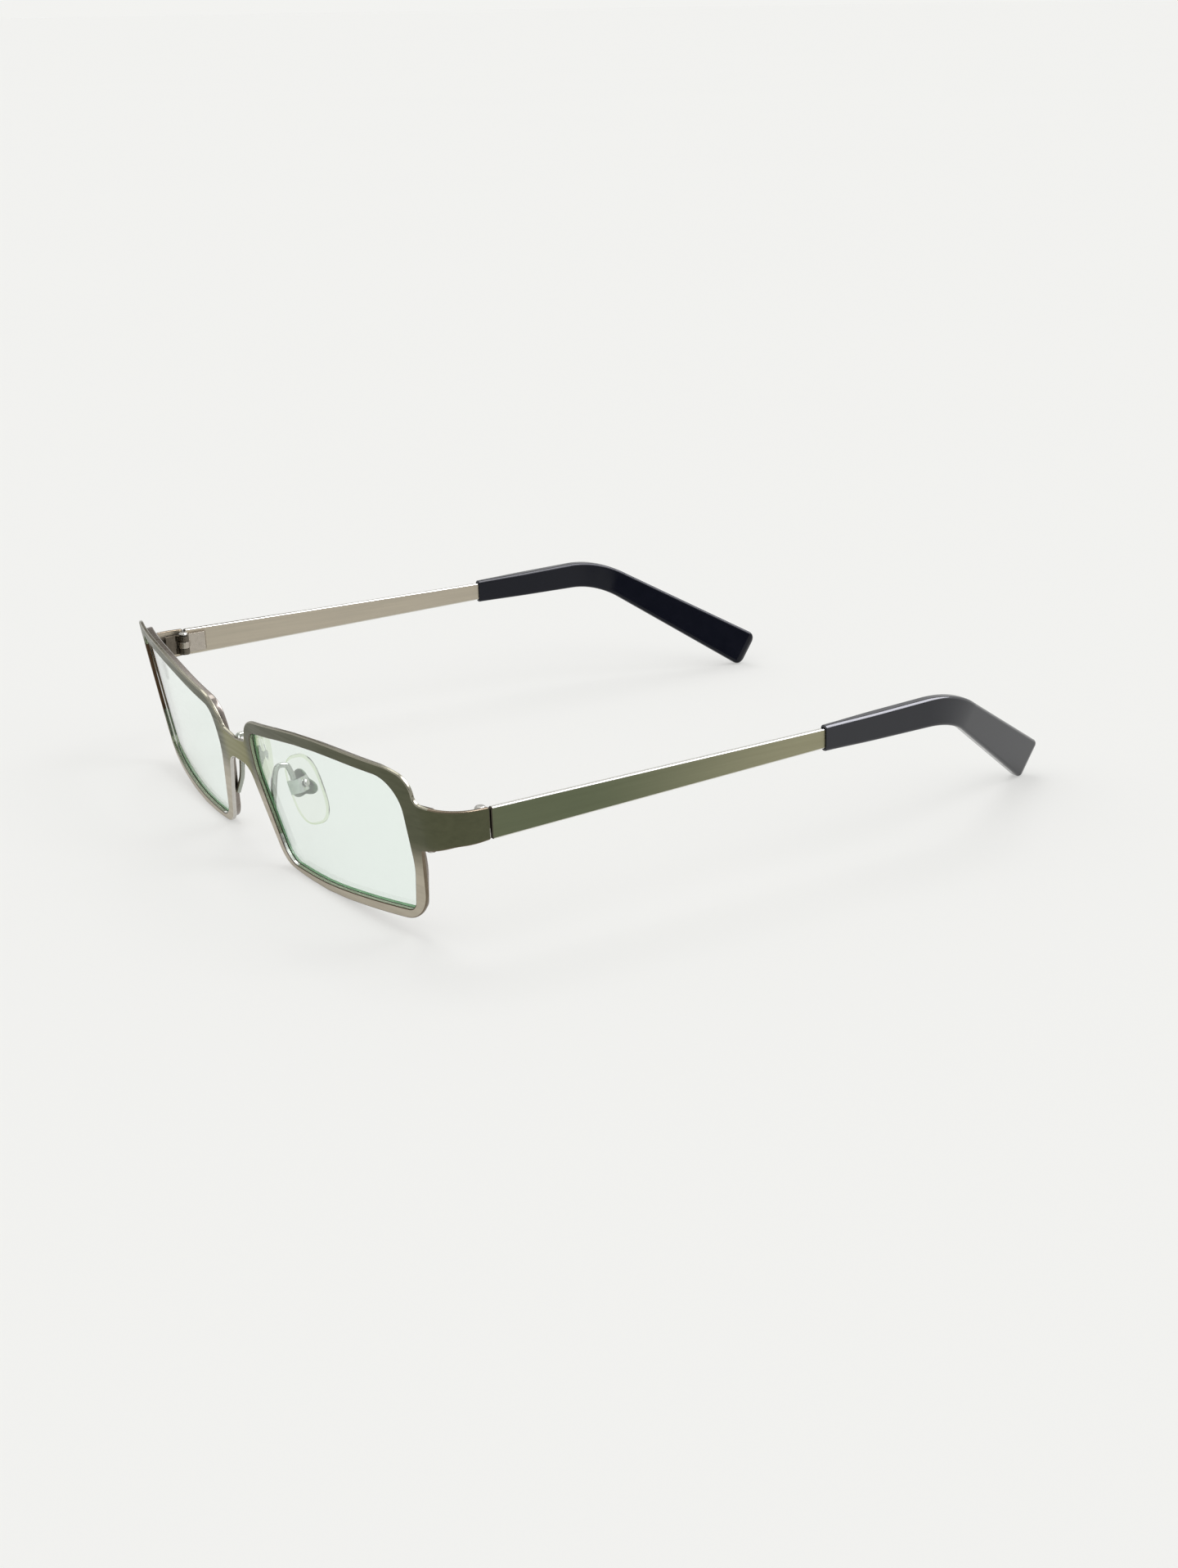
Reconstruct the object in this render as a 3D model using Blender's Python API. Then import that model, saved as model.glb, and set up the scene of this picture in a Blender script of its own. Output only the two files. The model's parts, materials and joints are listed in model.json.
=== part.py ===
"""Rectangular metal eyeglasses with tinted lenses, open and resting on their rims and temple tips.

The front is one stamped plate: both rims, the bridge and the endpieces, cut flat and then bent.
Each lens sits in a grooved eyewire behind its opening, closed by two blocks and a screw behind the
endpiece. Wire arms carry rocking nose pads, and pinned hinges carry the temples with their plastic tips.

Sizes are in millimetres and degrees, and each mesh is scaled to metres as it becomes an object.
Left is the wearer's left, at +X. The front looks along -Y and the temples run along +Y.
"""

import math

import bmesh
import bpy
from mathutils import Matrix, Vector

METRE = 0.001

# Lens opening in the flat front plate: s runs outward from the middle of the bridge, z is up
NOSE_HALF = 7.5
OPENING_WIDTH = 49.0
OPENING_TOP = 13.2
OPENING_BOTTOM = 14.1
CREST_FROM_NOSE = 24.0
BELLY_FROM_NOSE = 20.0
NOSE_TOP_DROP = 3.5
NOSE_TOP_SLANT = 1.4
TEMPLE_TOP_DROP = 1.1
NOSE_BOTTOM_SLANT = 6.0
NOSE_KNEE_HEIGHT = 3.0
TEMPLE_BOTTOM_SLANT = 2.4
TEMPLE_BOTTOM_RISE = 2.1
TEMPLE_KNEE_DEPTH = 3.5
NOSE_TOP_RADIUS = 3.2
NOSE_BOTTOM_RADIUS = 4.6
TEMPLE_TOP_RADIUS = 6.0
TEMPLE_BOTTOM_RADIUS = 2.6
KNEE_RADIUS = 14.0
CREST_RADIUS = 100.0

# Widths of the rim face around the opening
RIM_TOP = 2.2
RIM_BOTTOM = 1.7
RIM_NOSE = 2.5
RIM_NOSE_TOP = 1.3
RIM_NOSE_BOTTOM = 1.7
RIM_TEMPLE = 3.1
RIM_TEMPLE_BOTTOM = 2.8
RIM_NOSE_CORNER_RADIUS = 8.0
RIM_SHOULDER_IN = 5.0
RIM_SHOULDER_RADIUS = 12.0
RIM_CORNER_DROP = 1.4
RIM_TEMPLE_CORNER_RADIUS = 4.0
RIM_NOSE_BOTTOM_RADIUS = 5.0
RIM_TEMPLE_BOTTOM_RADIUS = 7.5
NOSE_BOTTOM_RISE = 0.8

# Bridge and endpieces of the plate
PLATE_THICKNESS = 0.7
BRIDGE_TOP = 6.0
BRIDGE_SHOULDER = 6.9
BRIDGE_BOTTOM = 1.5
BRIDGE_CORNER_IN = 0.75
BRIDGE_FILLET = 3.5
BRIDGE_TOP_FILLET = 1.6
ENDPIECE_TOP = 8.75
ENDPIECE_BOTTOM = 0.1
ENDPIECE_TOP_FILLET = 1.6
ENDPIECE_ARCH = 0.75
ENDPIECE_NOTCH = 0.3

# Plan line of the plate, seen from above
FRONT_RADIUS = 170.0
FRONT_APEX = 12.0
BRIDGE_RUN = 5.0
BEND_CLEAR = 0.6
BEND_RADIUS = 8.0
ENDPIECE_TAIL = 1.7
TEMPLE_TOE_IN = 1.7
TEMPLE_PITCH = 9.6

# Eyewire and lens: offsets outward from the opening's edge, depths behind the plate's front face
SOLDER_GAP = 0.1
EYEWIRE_LIP = 0.15
EYEWIRE_WALL = 1.2
EYEWIRE_DEPTH = 1.3
GROOVE_DEPTH = 0.6
GROOVE_WIDTH = 0.65
GROOVE_FLOOR = 0.33
SPLIT_HEIGHT = 4.2
SPLIT_GAP = 0.2
LENS_GAP = 0.25
LENS_THICKNESS = 1.5
LENS_BEVEL = 0.55
LENS_BEVEL_WIDTH = 0.4
LENS_BEVEL_TIP = 0.1

# Closing blocks and screw
BLOCK_LENGTH = 3.4
BLOCK_DEPTH = 1.9
BLOCK_GAP = 0.2
UPPER_BLOCK_HEIGHT = 2.7
LOWER_BLOCK_HEIGHT = 4.2
CLOSING_SHANK_RADIUS = 0.45
CLOSING_HEAD_RADIUS = 0.85
CLOSING_HEAD_HEIGHT = 0.5
CLOSING_SCREW_SHORT = 0.9
BORE_CLEARANCE = 0.12

# Nose pads
PAD_SCREW_OUT = 10.1
PAD_SCREW_BEHIND = 7.2
PAD_SCREW_HEIGHT = -2.6
PAD_SPLAY = 56.0
PAD_FLARE = 16.0
PAD_LENGTH = 13.4
PAD_WIDTH = 7.1
PAD_SQUARENESS = 2.8
PAD_THICKNESS = 1.7
PAD_AHEAD = 0.35
LUG_LENGTH = 2.3
LUG_WIDTH = 1.2
LUG_HEIGHT = 2.0
LUG_RISE = 1.5
LUG_SINK = 0.5
PAD_PIVOT = 1.3
BOX_WALL = 0.45
BOX_HEIGHT = 2.6
BOX_DEPTH = 2.8
BOX_CLEARANCE = 0.15
BOX_END_CLEARANCE = 0.3
PAD_SHANK_RADIUS = 0.4
PAD_HEAD_RADIUS = 0.75
PAD_HEAD_HEIGHT = 0.4
ARM_RADIUS = 0.5
ARM_FOOT = -8.2
ARM_KNEE = -4.8
ARM_RISE = -0.4
KNEE_BEHIND = 0.6
ARM_RUN_IN = 1.0
ARCH_HEIGHT = 2.0
ARCH_OUT = 9.9
ARCH_BEHIND = 4.1
RISE_CLEAR = 0.95
FALL_BEHIND = 0.5
FALL_RISE = 0.8

# Hinges
HINGE_HEIGHT = 3.35
HINGE_DEPTH = 2.2
HINGE_FROM_END = 0.55
TEMPLE_GAP = 0.15
BARREL_RADIUS = 1.1
BARREL_HALF = 1.95
MIDDLE_BARREL_HALF = 0.65
BARREL_GAP = 0.12
PIN_RADIUS = 0.5
PIN_HEAD_RADIUS = 0.95
PIN_HEAD_HEIGHT = 0.55
LEAF_THICKNESS = 0.65
LEAF_BACKSET = 1.3
TEMPLE_LEAF_LENGTH = 3.8
FRONT_LEAF_LENGTH = 2.4
FRONT_LEAF_GAP = 0.3
LEAF_CHAMFER = 0.3
WEB_HOLD = 0.3

# Temples and tips
TEMPLE_THICKNESS = 1.0
TEMPLE_LENGTH = 67.9
TEMPLE_HEIGHT_FRONT = 5.5
TEMPLE_HEIGHT_BACK = 3.6
CORE_LENGTH = 20.0
CORE_HEIGHT = 2.2
CORE_THICKNESS = 0.6
CORE_CLEARANCE = 0.25
TIP_MOUTH_THICKNESS = 1.7
TIP_THICKNESS = 2.4
TIP_SWELL = 12.0
TIP_HEIGHT_FRONT = 4.75
TIP_HEIGHT_BEND = 5.5
TIP_HEIGHT_END = 7.9
TIP_STRAIGHT = 23.2
TIP_BEND_RADIUS = 22.5
TIP_DROP = 33.0
TIP_TURN_IN = 20.0
TIP_DROP_LENGTH = 33.8
TIP_EDGE_RADIUS = 0.7
TIP_END_ROUND = 1.6

# Shares of a shape: of the outline and thickness of a pad from its back to its domed front, of a screw
# head's radius that is flat and of its height that is straight, of a run that the arcs at its ends may take,
# and of a half width that a corner may take
PAD_PROFILE = ((0.9, 0.0), (1.0, 0.3), (0.94, 0.6), (0.6, 0.88), (0.2, 1.0))
HEAD_FLAT = 0.7
HEAD_SIDE = 0.5
CORNER_ROOM = 0.98
EDGE_ROOM = 0.9

# Ends of the pins past the pieces that they hold
PIN_END = 0.15

# How finely the curves are cut
ARC_STEP = math.radians(13)
FRONT_STATION = 6.0
BEND_STEPS = 8
TIP_BEND_STEPS = 7
TIP_END_STEPS = 3
LEAF_STEPS = 4
ARM_STEPS = 4
PAD_SIDES = 20
BARREL_SIDES = 16
SHARP_ANGLE = 35.0
AXES_SIZE = 10.0
FLOOR_PASSES = 4
WELD = 1e-5


def clear_scene():
    for thing in list(bpy.data.objects):
        bpy.data.objects.remove(thing, do_unlink=True)


def material(name, colour, metallic, roughness, transmission=0.0):
    """A Principled material in linear colour."""
    made = bpy.data.materials.new(name)
    made.use_nodes = True
    shader = made.node_tree.nodes["Principled BSDF"]
    shader.inputs["Base Color"].default_value = (*colour, 1)
    shader.inputs["Metallic"].default_value = metallic
    shader.inputs["Roughness"].default_value = roughness
    shader.inputs["Transmission Weight"].default_value = transmission
    return made


def make_materials():
    return {
        "gunmetal": material("gunmetal", (0.13, 0.13, 0.08), 1.0, 0.38),
        "bright_steel": material("bright_steel", (0.62, 0.60, 0.55), 1.0, 0.22),
        "screw_steel": material("screw_steel", (0.50, 0.49, 0.46), 1.0, 0.30),
        "mint_lens": material("mint_lens", (0.78, 0.90, 0.82), 0.0, 0.03, 0.95),
        "clear_pad": material("clear_pad", (0.90, 0.90, 0.80), 0.0, 0.15, 0.85),
        "black_plastic": material("black_plastic", (0.006, 0.006, 0.008), 0.0, 0.12),
    }


# Flat outlines


def corner_arcs(corners):
    """(corner, half of its angle, run that its arc takes) of each corner (a, b, radius) of an outline.

    Where a run is too short for the arcs at both of its ends, they share it.
    """
    spots = [Vector(corner[:2]) for corner in corners]
    count = len(spots)
    halves, reaches = [], []
    for i, spot in enumerate(spots):
        halves.append((spots[i - 1] - spot).angle(spots[(i + 1) % count] - spot) / 2)
        reaches.append(corners[i][2] / math.tan(halves[i]))
    shares = []
    for i, spot in enumerate(spots):
        m = (i + 1) % count
        room = CORNER_ROOM * (spots[m] - spot).length
        shares.append(room / max(room, reaches[i] + reaches[m]))
    return [(spots[i], halves[i], reaches[i] * min(shares[i - 1], shares[i])) for i in range(count)]


def rounded(corners):
    """Points of a closed outline, each corner (a, b, radius) turned into an arc."""
    points = []
    arcs = corner_arcs(corners)
    for i, (here, half, reach) in enumerate(arcs):
        if reach <= 0:
            points.append(tuple(here))
            continue
        before = (arcs[i - 1][0] - here).normalized()
        after = (arcs[(i + 1) % len(arcs)][0] - here).normalized()
        centre = here + (before + after).normalized() * reach / math.cos(half)
        start = here + before * reach - centre
        end = here + after * reach - centre
        turn = math.pi - 2 * half
        if start.x * end.y - start.y * end.x < 0:
            turn = -turn
        steps = max(2, math.ceil(abs(turn) / ARC_STEP))
        for k in range(steps + 1):
            spot = centre + Matrix.Rotation(turn * k / steps, 2) @ start
            points.append(tuple(spot))
    return points


def circle(centre_a, centre_b, radius, sides=12):
    return [
        (
            centre_a + radius * math.cos(2 * math.pi * k / sides),
            centre_b + radius * math.sin(2 * math.pi * k / sides),
        )
        for k in range(sides)
    ]


def opening_corners():
    """Corners of the left opening, from its temple side at the eyewire's split, down and round."""
    nose = NOSE_HALF
    temple = NOSE_HALF + OPENING_WIDTH
    return [
        (temple, SPLIT_HEIGHT, 0),
        (temple, -TEMPLE_KNEE_DEPTH, KNEE_RADIUS),
        (temple - TEMPLE_BOTTOM_SLANT, TEMPLE_BOTTOM_RISE - OPENING_BOTTOM, TEMPLE_BOTTOM_RADIUS),
        (nose + BELLY_FROM_NOSE, -OPENING_BOTTOM, CREST_RADIUS),
        (nose + NOSE_BOTTOM_SLANT, -OPENING_BOTTOM, NOSE_BOTTOM_RADIUS),
        (nose, NOSE_KNEE_HEIGHT, KNEE_RADIUS),
        (nose + NOSE_TOP_SLANT, OPENING_TOP - NOSE_TOP_DROP, NOSE_TOP_RADIUS),
        (nose + CREST_FROM_NOSE, OPENING_TOP, CREST_RADIUS),
        (temple, OPENING_TOP - TEMPLE_TOP_DROP, TEMPLE_TOP_RADIUS),
    ]


def rim_edge():
    """Outer edge of the rim on its temple side."""
    return NOSE_HALF + OPENING_WIDTH + RIM_TEMPLE


def bend_start():
    return rim_edge() + BEND_CLEAR


def plate_corners():
    """Corners of the left half of the plate, from the bridge's top to its underside."""
    nose = NOSE_HALF
    edge = rim_edge()
    end = plan_length()
    lean = math.radians(TEMPLE_PITCH)
    half = TEMPLE_HEIGHT_FRONT / 2
    end_top = (end + half * math.sin(lean), HINGE_HEIGHT + half * math.cos(lean))
    end_bottom = (end - half * math.sin(lean), HINGE_HEIGHT - half * math.cos(lean))
    middle = (edge + end) / 2
    arch_height = (ENDPIECE_BOTTOM + end_bottom[1]) / 2 + ENDPIECE_ARCH
    shoulder = OPENING_TOP - TEMPLE_TOP_DROP + RIM_TOP
    return [
        (0, BRIDGE_TOP, NOSE_HALF),
        (nose - RIM_NOSE, BRIDGE_SHOULDER, BRIDGE_TOP_FILLET),
        (
            nose + NOSE_TOP_SLANT - RIM_NOSE_TOP,
            OPENING_TOP - NOSE_TOP_DROP + RIM_TOP,
            RIM_NOSE_CORNER_RADIUS,
        ),
        (nose + CREST_FROM_NOSE, OPENING_TOP + RIM_TOP, CREST_RADIUS),
        (edge - RIM_SHOULDER_IN, shoulder, RIM_SHOULDER_RADIUS),
        (edge, shoulder - RIM_CORNER_DROP, RIM_TEMPLE_CORNER_RADIUS),
        (edge, ENDPIECE_TOP, ENDPIECE_TOP_FILLET),
        (*end_top, 0),
        (*end_bottom, 0),
        (middle, arch_height, BEND_RADIUS),
        (edge - ENDPIECE_NOTCH, ENDPIECE_BOTTOM, 0),
        (
            edge - RIM_TEMPLE - TEMPLE_BOTTOM_SLANT + RIM_TEMPLE_BOTTOM,
            TEMPLE_BOTTOM_RISE - OPENING_BOTTOM - RIM_BOTTOM,
            RIM_TEMPLE_BOTTOM_RADIUS,
        ),
        (nose + BELLY_FROM_NOSE, -OPENING_BOTTOM - RIM_BOTTOM, CREST_RADIUS),
        (
            nose + NOSE_BOTTOM_SLANT - RIM_NOSE_BOTTOM,
            NOSE_BOTTOM_RISE - OPENING_BOTTOM - RIM_BOTTOM,
            RIM_NOSE_BOTTOM_RADIUS,
        ),
        (nose - RIM_NOSE - BRIDGE_CORNER_IN, BRIDGE_BOTTOM, BRIDGE_FILLET),
        (0, BRIDGE_BOTTOM, 0),
    ]


# The plan line that the plate, eyewires and lenses are bent to


def plan_runs():
    """(length, turn) of each run of the plan line, from the middle of the bridge outward."""
    dip = (FRONT_APEX - BRIDGE_RUN) / FRONT_RADIUS
    front = bend_start() - BRIDGE_RUN
    swept = front / FRONT_RADIUS - dip
    bend = math.radians(90 + TEMPLE_TOE_IN) - swept
    return [
        (BRIDGE_RUN, -dip),
        (front, front / FRONT_RADIUS),
        (BEND_RADIUS * bend, bend),
        (ENDPIECE_TAIL, 0.0),
    ]


def plan_length():
    return sum(length for length, _ in plan_runs())


def plan_point(s):
    """Point and heading on the plan line at a distance s from the middle."""
    x = y = heading = 0.0
    left = s
    runs = plan_runs()
    for i, (length, turn) in enumerate(runs):
        step = left if i == len(runs) - 1 else min(left, length)
        share = step / length
        if turn:
            radius = length / turn
            after = heading + turn * share
            x += radius * (math.sin(after) - math.sin(heading))
            y += radius * (math.cos(heading) - math.cos(after))
            heading = after
        else:
            x += step * math.cos(heading)
            y += step * math.sin(heading)
        left -= step
        if left <= 0:
            break
    return x, y, heading


def on_front(s, depth, z):
    """Place on the bent front of a point of the flat blank, at a depth behind its front face."""
    x, y, heading = plan_point(abs(s))
    x -= depth * math.sin(heading)
    y += depth * math.cos(heading)
    return Vector((math.copysign(x, s) if s else x, y, z))


def stations(low, high):
    """Where the flat blank is cut so that it can follow the plan line."""
    bend = bend_start()
    bend_run = plan_runs()[2][0]
    count = math.ceil(bend / FRONT_STATION)
    marks = [bend * k / count for k in range(1, count + 1)]
    marks += [bend + bend_run * k / BEND_STEPS for k in range(1, BEND_STEPS + 1)]
    both = [0.0] + marks + [-mark for mark in marks]
    return [mark for mark in both if low + WELD < mark < high - WELD]


# Solids


def face_out(shape):
    """Turns a closed shape's faces to point outwards."""
    bmesh.ops.recalc_face_normals(shape, faces=shape.faces)
    if shape.calc_volume(signed=True) < 0:
        bmesh.ops.reverse_faces(shape, faces=shape.faces)
    return shape


def prism(loops, low, high):
    """A solid between two depths, from loops of (s, z): the first is its outline, the others are holes."""
    curve = bpy.data.curves.new("outline", "CURVE")
    curve.dimensions = "2D"
    curve.fill_mode = "BOTH"
    curve.extrude = (high - low) / 2
    for loop in loops:
        spline = curve.splines.new("POLY")
        spline.points.add(len(loop) - 1)
        spline.use_cyclic_u = True
        for point, (a, b) in zip(spline.points, loop):
            point.co = (a, b, 0, 1)
    holder = bpy.data.objects.new("outline", curve)
    bpy.context.scene.collection.objects.link(holder)
    graph = bpy.context.evaluated_depsgraph_get()
    mesh = bpy.data.meshes.new_from_object(holder.evaluated_get(graph))
    shape = bmesh.new()
    shape.from_mesh(mesh)
    bpy.data.objects.remove(holder)
    bpy.data.curves.remove(curve)
    bpy.data.meshes.remove(mesh)
    bmesh.ops.remove_doubles(shape, verts=shape.verts, dist=WELD)
    middle = (low + high) / 2
    for vert in shape.verts:
        s, z, depth = vert.co
        vert.co = (s, depth + middle, z)
    return face_out(shape)


def upright(shape):
    """Turns a prism's flat outline from the (x, z) plane to the (x, y) plane, its depth becoming height."""
    for vert in shape.verts:
        x, depth, y = vert.co
        vert.co = (x, y, depth)
    return face_out(shape)


def loft(rings, closed_run=False):
    """A solid through rings of points with as many points each; an open run gets flat ends."""
    shape = bmesh.new()
    verts = [[shape.verts.new(point) for point in ring] for ring in rings]
    spans = len(rings) if closed_run else len(rings) - 1
    size = len(rings[0])
    for i in range(spans):
        here, there = verts[i], verts[(i + 1) % len(rings)]
        for k in range(size):
            m = (k + 1) % size
            shape.faces.new((here[k], here[m], there[m], there[k]))
    if not closed_run:
        shape.faces.new(verts[0])
        shape.faces.new(verts[-1])
    return face_out(shape)


def bend_to_front(shape):
    """Cuts a flat shape at the stations and lays it on the plan line."""
    low = min(vert.co.x for vert in shape.verts)
    high = max(vert.co.x for vert in shape.verts)
    for mark in stations(low, high):
        parts = shape.verts[:] + shape.edges[:] + shape.faces[:]
        bmesh.ops.bisect_plane(shape, geom=parts, dist=WELD, plane_co=(mark, 0, 0), plane_no=(1, 0, 0))
    for vert in shape.verts:
        vert.co = on_front(*vert.co)
    return face_out(shape)


def turned(profile, sides=14):
    """A solid of revolution about Z from (radius, height) points that start and end on the axis."""
    shape = bmesh.new()
    rings = []
    for radius, height in profile:
        if radius < WELD:
            rings.append([shape.verts.new((0, 0, height))])
            continue
        rings.append([shape.verts.new((a, b, height)) for a, b in circle(0, 0, radius, sides)])
    for here, there in zip(rings, rings[1:]):
        for k in range(sides):
            m = (k + 1) % sides
            corners = [here[k % len(here)], here[m % len(here)], there[m % len(there)], there[k % len(there)]]
            shape.faces.new(list(dict.fromkeys(corners)))
    return face_out(shape)


def screw(shank_radius, head_radius, head_height, low, seat):
    """A plain screw along Z from its end to the seat of its head, with the head above."""
    side = seat + HEAD_SIDE * head_height
    top = seat + head_height
    return turned(
        [
            (0, low),
            (shank_radius, low),
            (shank_radius, seat),
            (head_radius, seat),
            (head_radius, side),
            (HEAD_FLAT * head_radius, top),
            (0, top),
        ]
    )


def add_object(name, shape, look, parent, side=1):
    """Makes the named object from a shape drawn for the left side; the right side is its mirror image."""
    if side < 0:
        bmesh.ops.scale(shape, vec=(-1, 1, 1), verts=shape.verts)
        bmesh.ops.reverse_faces(shape, faces=shape.faces)
    bmesh.ops.scale(shape, vec=(METRE, METRE, METRE), verts=shape.verts)
    mesh = bpy.data.meshes.new(name)
    shape.to_mesh(mesh)
    shape.free()
    mesh.materials.append(look)
    mesh.shade_smooth()
    mesh.set_sharp_from_angle(angle=math.radians(SHARP_ANGLE))
    made = bpy.data.objects.new(name, mesh)
    bpy.context.scene.collection.objects.link(made)
    made.parent = parent
    return made


def cut(thing, cutters, operation="DIFFERENCE"):
    for cutter in cutters:
        cutter.hide_render = True
        cutter.display_type = "WIRE"
        step = thing.modifiers.new(cutter.name, "BOOLEAN")
        step.operation = operation
        step.object = cutter


def add_empty(name, parent, place=(0, 0, 0), turn=(0, 0, 0)):
    made = bpy.data.objects.new(name, None)
    made.empty_display_size = AXES_SIZE * METRE
    made.location = Vector(place) * METRE
    made.rotation_euler = turn
    made.parent = parent
    bpy.context.scene.collection.objects.link(made)
    return made


# Front


def add_plate(looks, parent):
    half = plate_corners()
    mirrored = [(-s, z, radius) for s, z, radius in reversed(half[1:-1])]
    outline = rounded(half + mirrored)
    opening = rounded(opening_corners())
    other = [(-s, z) for s, z in opening]
    shape = bend_to_front(prism([outline, opening, other], 0, PLATE_THICKNESS))
    return add_object("front_plate", shape, looks["gunmetal"], parent)


def opening_path():
    """(point, outward normal) round the opening, starting at the eyewire's split."""
    points = [Vector(point) for point in rounded(opening_corners())]
    path = []
    for i, point in enumerate(points):
        along = points[(i + 1) % len(points)] - points[i - 1]
        path.append((point, Vector((-along.y, along.x)).normalized()))
    return path


def rim_ring(point, normal, section):
    """Flat-blank points of one cross-section of (offset, depth) at a place on the opening's edge."""
    return [(point.x + normal.x * offset, depth, point.y + normal.y * offset) for offset, depth in section]


def eyewire_section():
    front = PLATE_THICKNESS + SOLDER_GAP
    back = front + EYEWIRE_DEPTH
    middle = (front + back) / 2
    groove_wall = EYEWIRE_LIP + GROOVE_DEPTH
    return [
        (EYEWIRE_LIP, front),
        (EYEWIRE_WALL, front),
        (EYEWIRE_WALL, back),
        (EYEWIRE_LIP, back),
        (EYEWIRE_LIP, middle + GROOVE_WIDTH / 2),
        (groove_wall, middle + GROOVE_FLOOR / 2),
        (groove_wall, middle - GROOVE_FLOOR / 2),
        (EYEWIRE_LIP, middle - GROOVE_WIDTH / 2),
    ]


def add_eyewire(looks, parent, side, name):
    """A grooved ring behind the rim, split on its temple side between the closing blocks."""
    path = opening_path()
    split = path[0][0]
    outward = Vector((1, 0))
    lower = (split - Vector((0, SPLIT_GAP / 2)), outward)
    upper = (split + Vector((0, SPLIT_GAP / 2)), outward)
    section = eyewire_section()
    rings = [rim_ring(*place, section) for place in [lower] + path[1:] + [upper]]
    add_object(name + "_eyewire", bend_to_front(loft(rings)), looks["bright_steel"], parent, side)


def add_lens(looks, parent, side, name):
    """A lens whose bevelled edge lies in the eyewire's groove."""
    groove = PLATE_THICKNESS + SOLDER_GAP + EYEWIRE_DEPTH / 2
    body = EYEWIRE_LIP - LENS_GAP
    front = PLATE_THICKNESS + SOLDER_GAP
    section = [
        (body, front),
        (body, groove - LENS_BEVEL_WIDTH / 2),
        (body + LENS_BEVEL, groove - LENS_BEVEL_TIP / 2),
        (body + LENS_BEVEL, groove + LENS_BEVEL_TIP / 2),
        (body, groove + LENS_BEVEL_WIDTH / 2),
        (body, front + LENS_THICKNESS),
    ]
    path = opening_path()
    rings = []
    for offset, depth in section:
        rings.append([rim_ring(point, normal, [(offset, depth)])[0] for point, normal in path])
    add_object(name + "_lens", bend_to_front(loft(rings)), looks["mint_lens"], parent, side)


def add_closing(looks, parent, side, name):
    """Two blocks behind the endpiece, one on each end of the eyewire, and the screw that closes them."""
    start = NOSE_HALF + OPENING_WIDTH + EYEWIRE_WALL + SOLDER_GAP
    middle = start + BLOCK_LENGTH / 2
    x, y, heading = plan_point(middle)
    front = PLATE_THICKNESS + BLOCK_GAP
    depth = front + BLOCK_DEPTH / 2
    seat = Matrix.Translation((x, y, 0)) @ Matrix.Rotation(heading, 4, "Z")
    half = BLOCK_LENGTH / 2
    outline = [(-half, front), (half, front), (half, front + BLOCK_DEPTH), (-half, front + BLOCK_DEPTH)]
    bore = circle(0, depth, CLOSING_SHANK_RADIUS + BORE_CLEARANCE)
    low = SPLIT_HEIGHT - SPLIT_GAP / 2
    high = SPLIT_HEIGHT + SPLIT_GAP / 2
    levels = {"lower": (low - LOWER_BLOCK_HEIGHT, low), "upper": (high, high + UPPER_BLOCK_HEIGHT)}
    for level, (bottom, top) in levels.items():
        shape = upright(prism([outline, bore], bottom, top))
        bmesh.ops.transform(shape, matrix=seat, verts=shape.verts)
        add_object(f"{name}_{level}_closing_block", shape, looks["bright_steel"], parent, side)
    bottom = levels["lower"][0] - SOLDER_GAP
    top = levels["upper"][1] - CLOSING_SCREW_SHORT
    shape = screw(CLOSING_SHANK_RADIUS, CLOSING_HEAD_RADIUS, CLOSING_HEAD_HEIGHT, -top, -bottom)
    place = seat @ Matrix.Translation((0, depth, 0)) @ Matrix.Rotation(math.pi, 4, "X")
    bmesh.ops.transform(shape, matrix=place, verts=shape.verts)
    add_object(name + "_closing_screw", shape, looks["screw_steel"], parent, side)


# Nose pads, in pad axes: x away from the nose, y towards the back, z up the pad, origin on the screw


def pad_matrix():
    """Pad axes of the left pad in front axes."""
    flare = Matrix.Rotation(-math.radians(PAD_FLARE), 4, "Y")
    splay = Matrix.Rotation(-math.radians(PAD_SPLAY), 4, "Z")
    return Matrix.Translation((PAD_SCREW_OUT, PAD_SCREW_BEHIND, PAD_SCREW_HEIGHT)) @ flare @ splay


def pad_ring(share, x):
    """A ring of the pad at a share of its full outline, an oval with squarer shoulders than an ellipse."""
    ring = []
    for k in range(PAD_SIDES):
        angle = 2 * math.pi * k / PAD_SIDES
        cos, sin = math.cos(angle), math.sin(angle)
        across = math.copysign(abs(cos) ** (2 / PAD_SQUARENESS), cos) * PAD_WIDTH / 2
        along = math.copysign(abs(sin) ** (2 / PAD_SQUARENESS), sin) * PAD_LENGTH / 2
        ring.append((x, share * across - PAD_AHEAD, share * along - LUG_RISE))
    return ring


def add_pad(looks, axes, side, name):
    """A clear oval pad, domed towards the nose, with a bored lug behind it."""
    back = -PAD_PIVOT
    rings = [pad_ring(share, back - depth * PAD_THICKNESS) for share, depth in PAD_PROFILE]
    pad = add_object(name + "_nose_pad", loft(rings), looks["clear_pad"], axes, side)
    lug_end = back + LUG_LENGTH
    half = LUG_HEIGHT / 2
    root = back - LUG_SINK
    outline = [(root, -half), (lug_end, -half), (lug_end, half), (root, half)]
    lug = prism([outline], -LUG_WIDTH / 2, LUG_WIDTH / 2)
    bore = prism([circle(0, 0, PAD_SHANK_RADIUS + BORE_CLEARANCE)], -LUG_WIDTH, LUG_WIDTH)
    cut(pad, [add_object(name + "_pad_lug", lug, looks["clear_pad"], axes, side)], "UNION")
    cut(pad, [add_object(name + "_pad_bore", bore, looks["clear_pad"], axes, side)])


def box_back():
    """Distance from the pad screw to the outside of the box's floor."""
    return LUG_LENGTH - PAD_PIVOT + BOX_END_CLEARANCE + BOX_WALL


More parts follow.
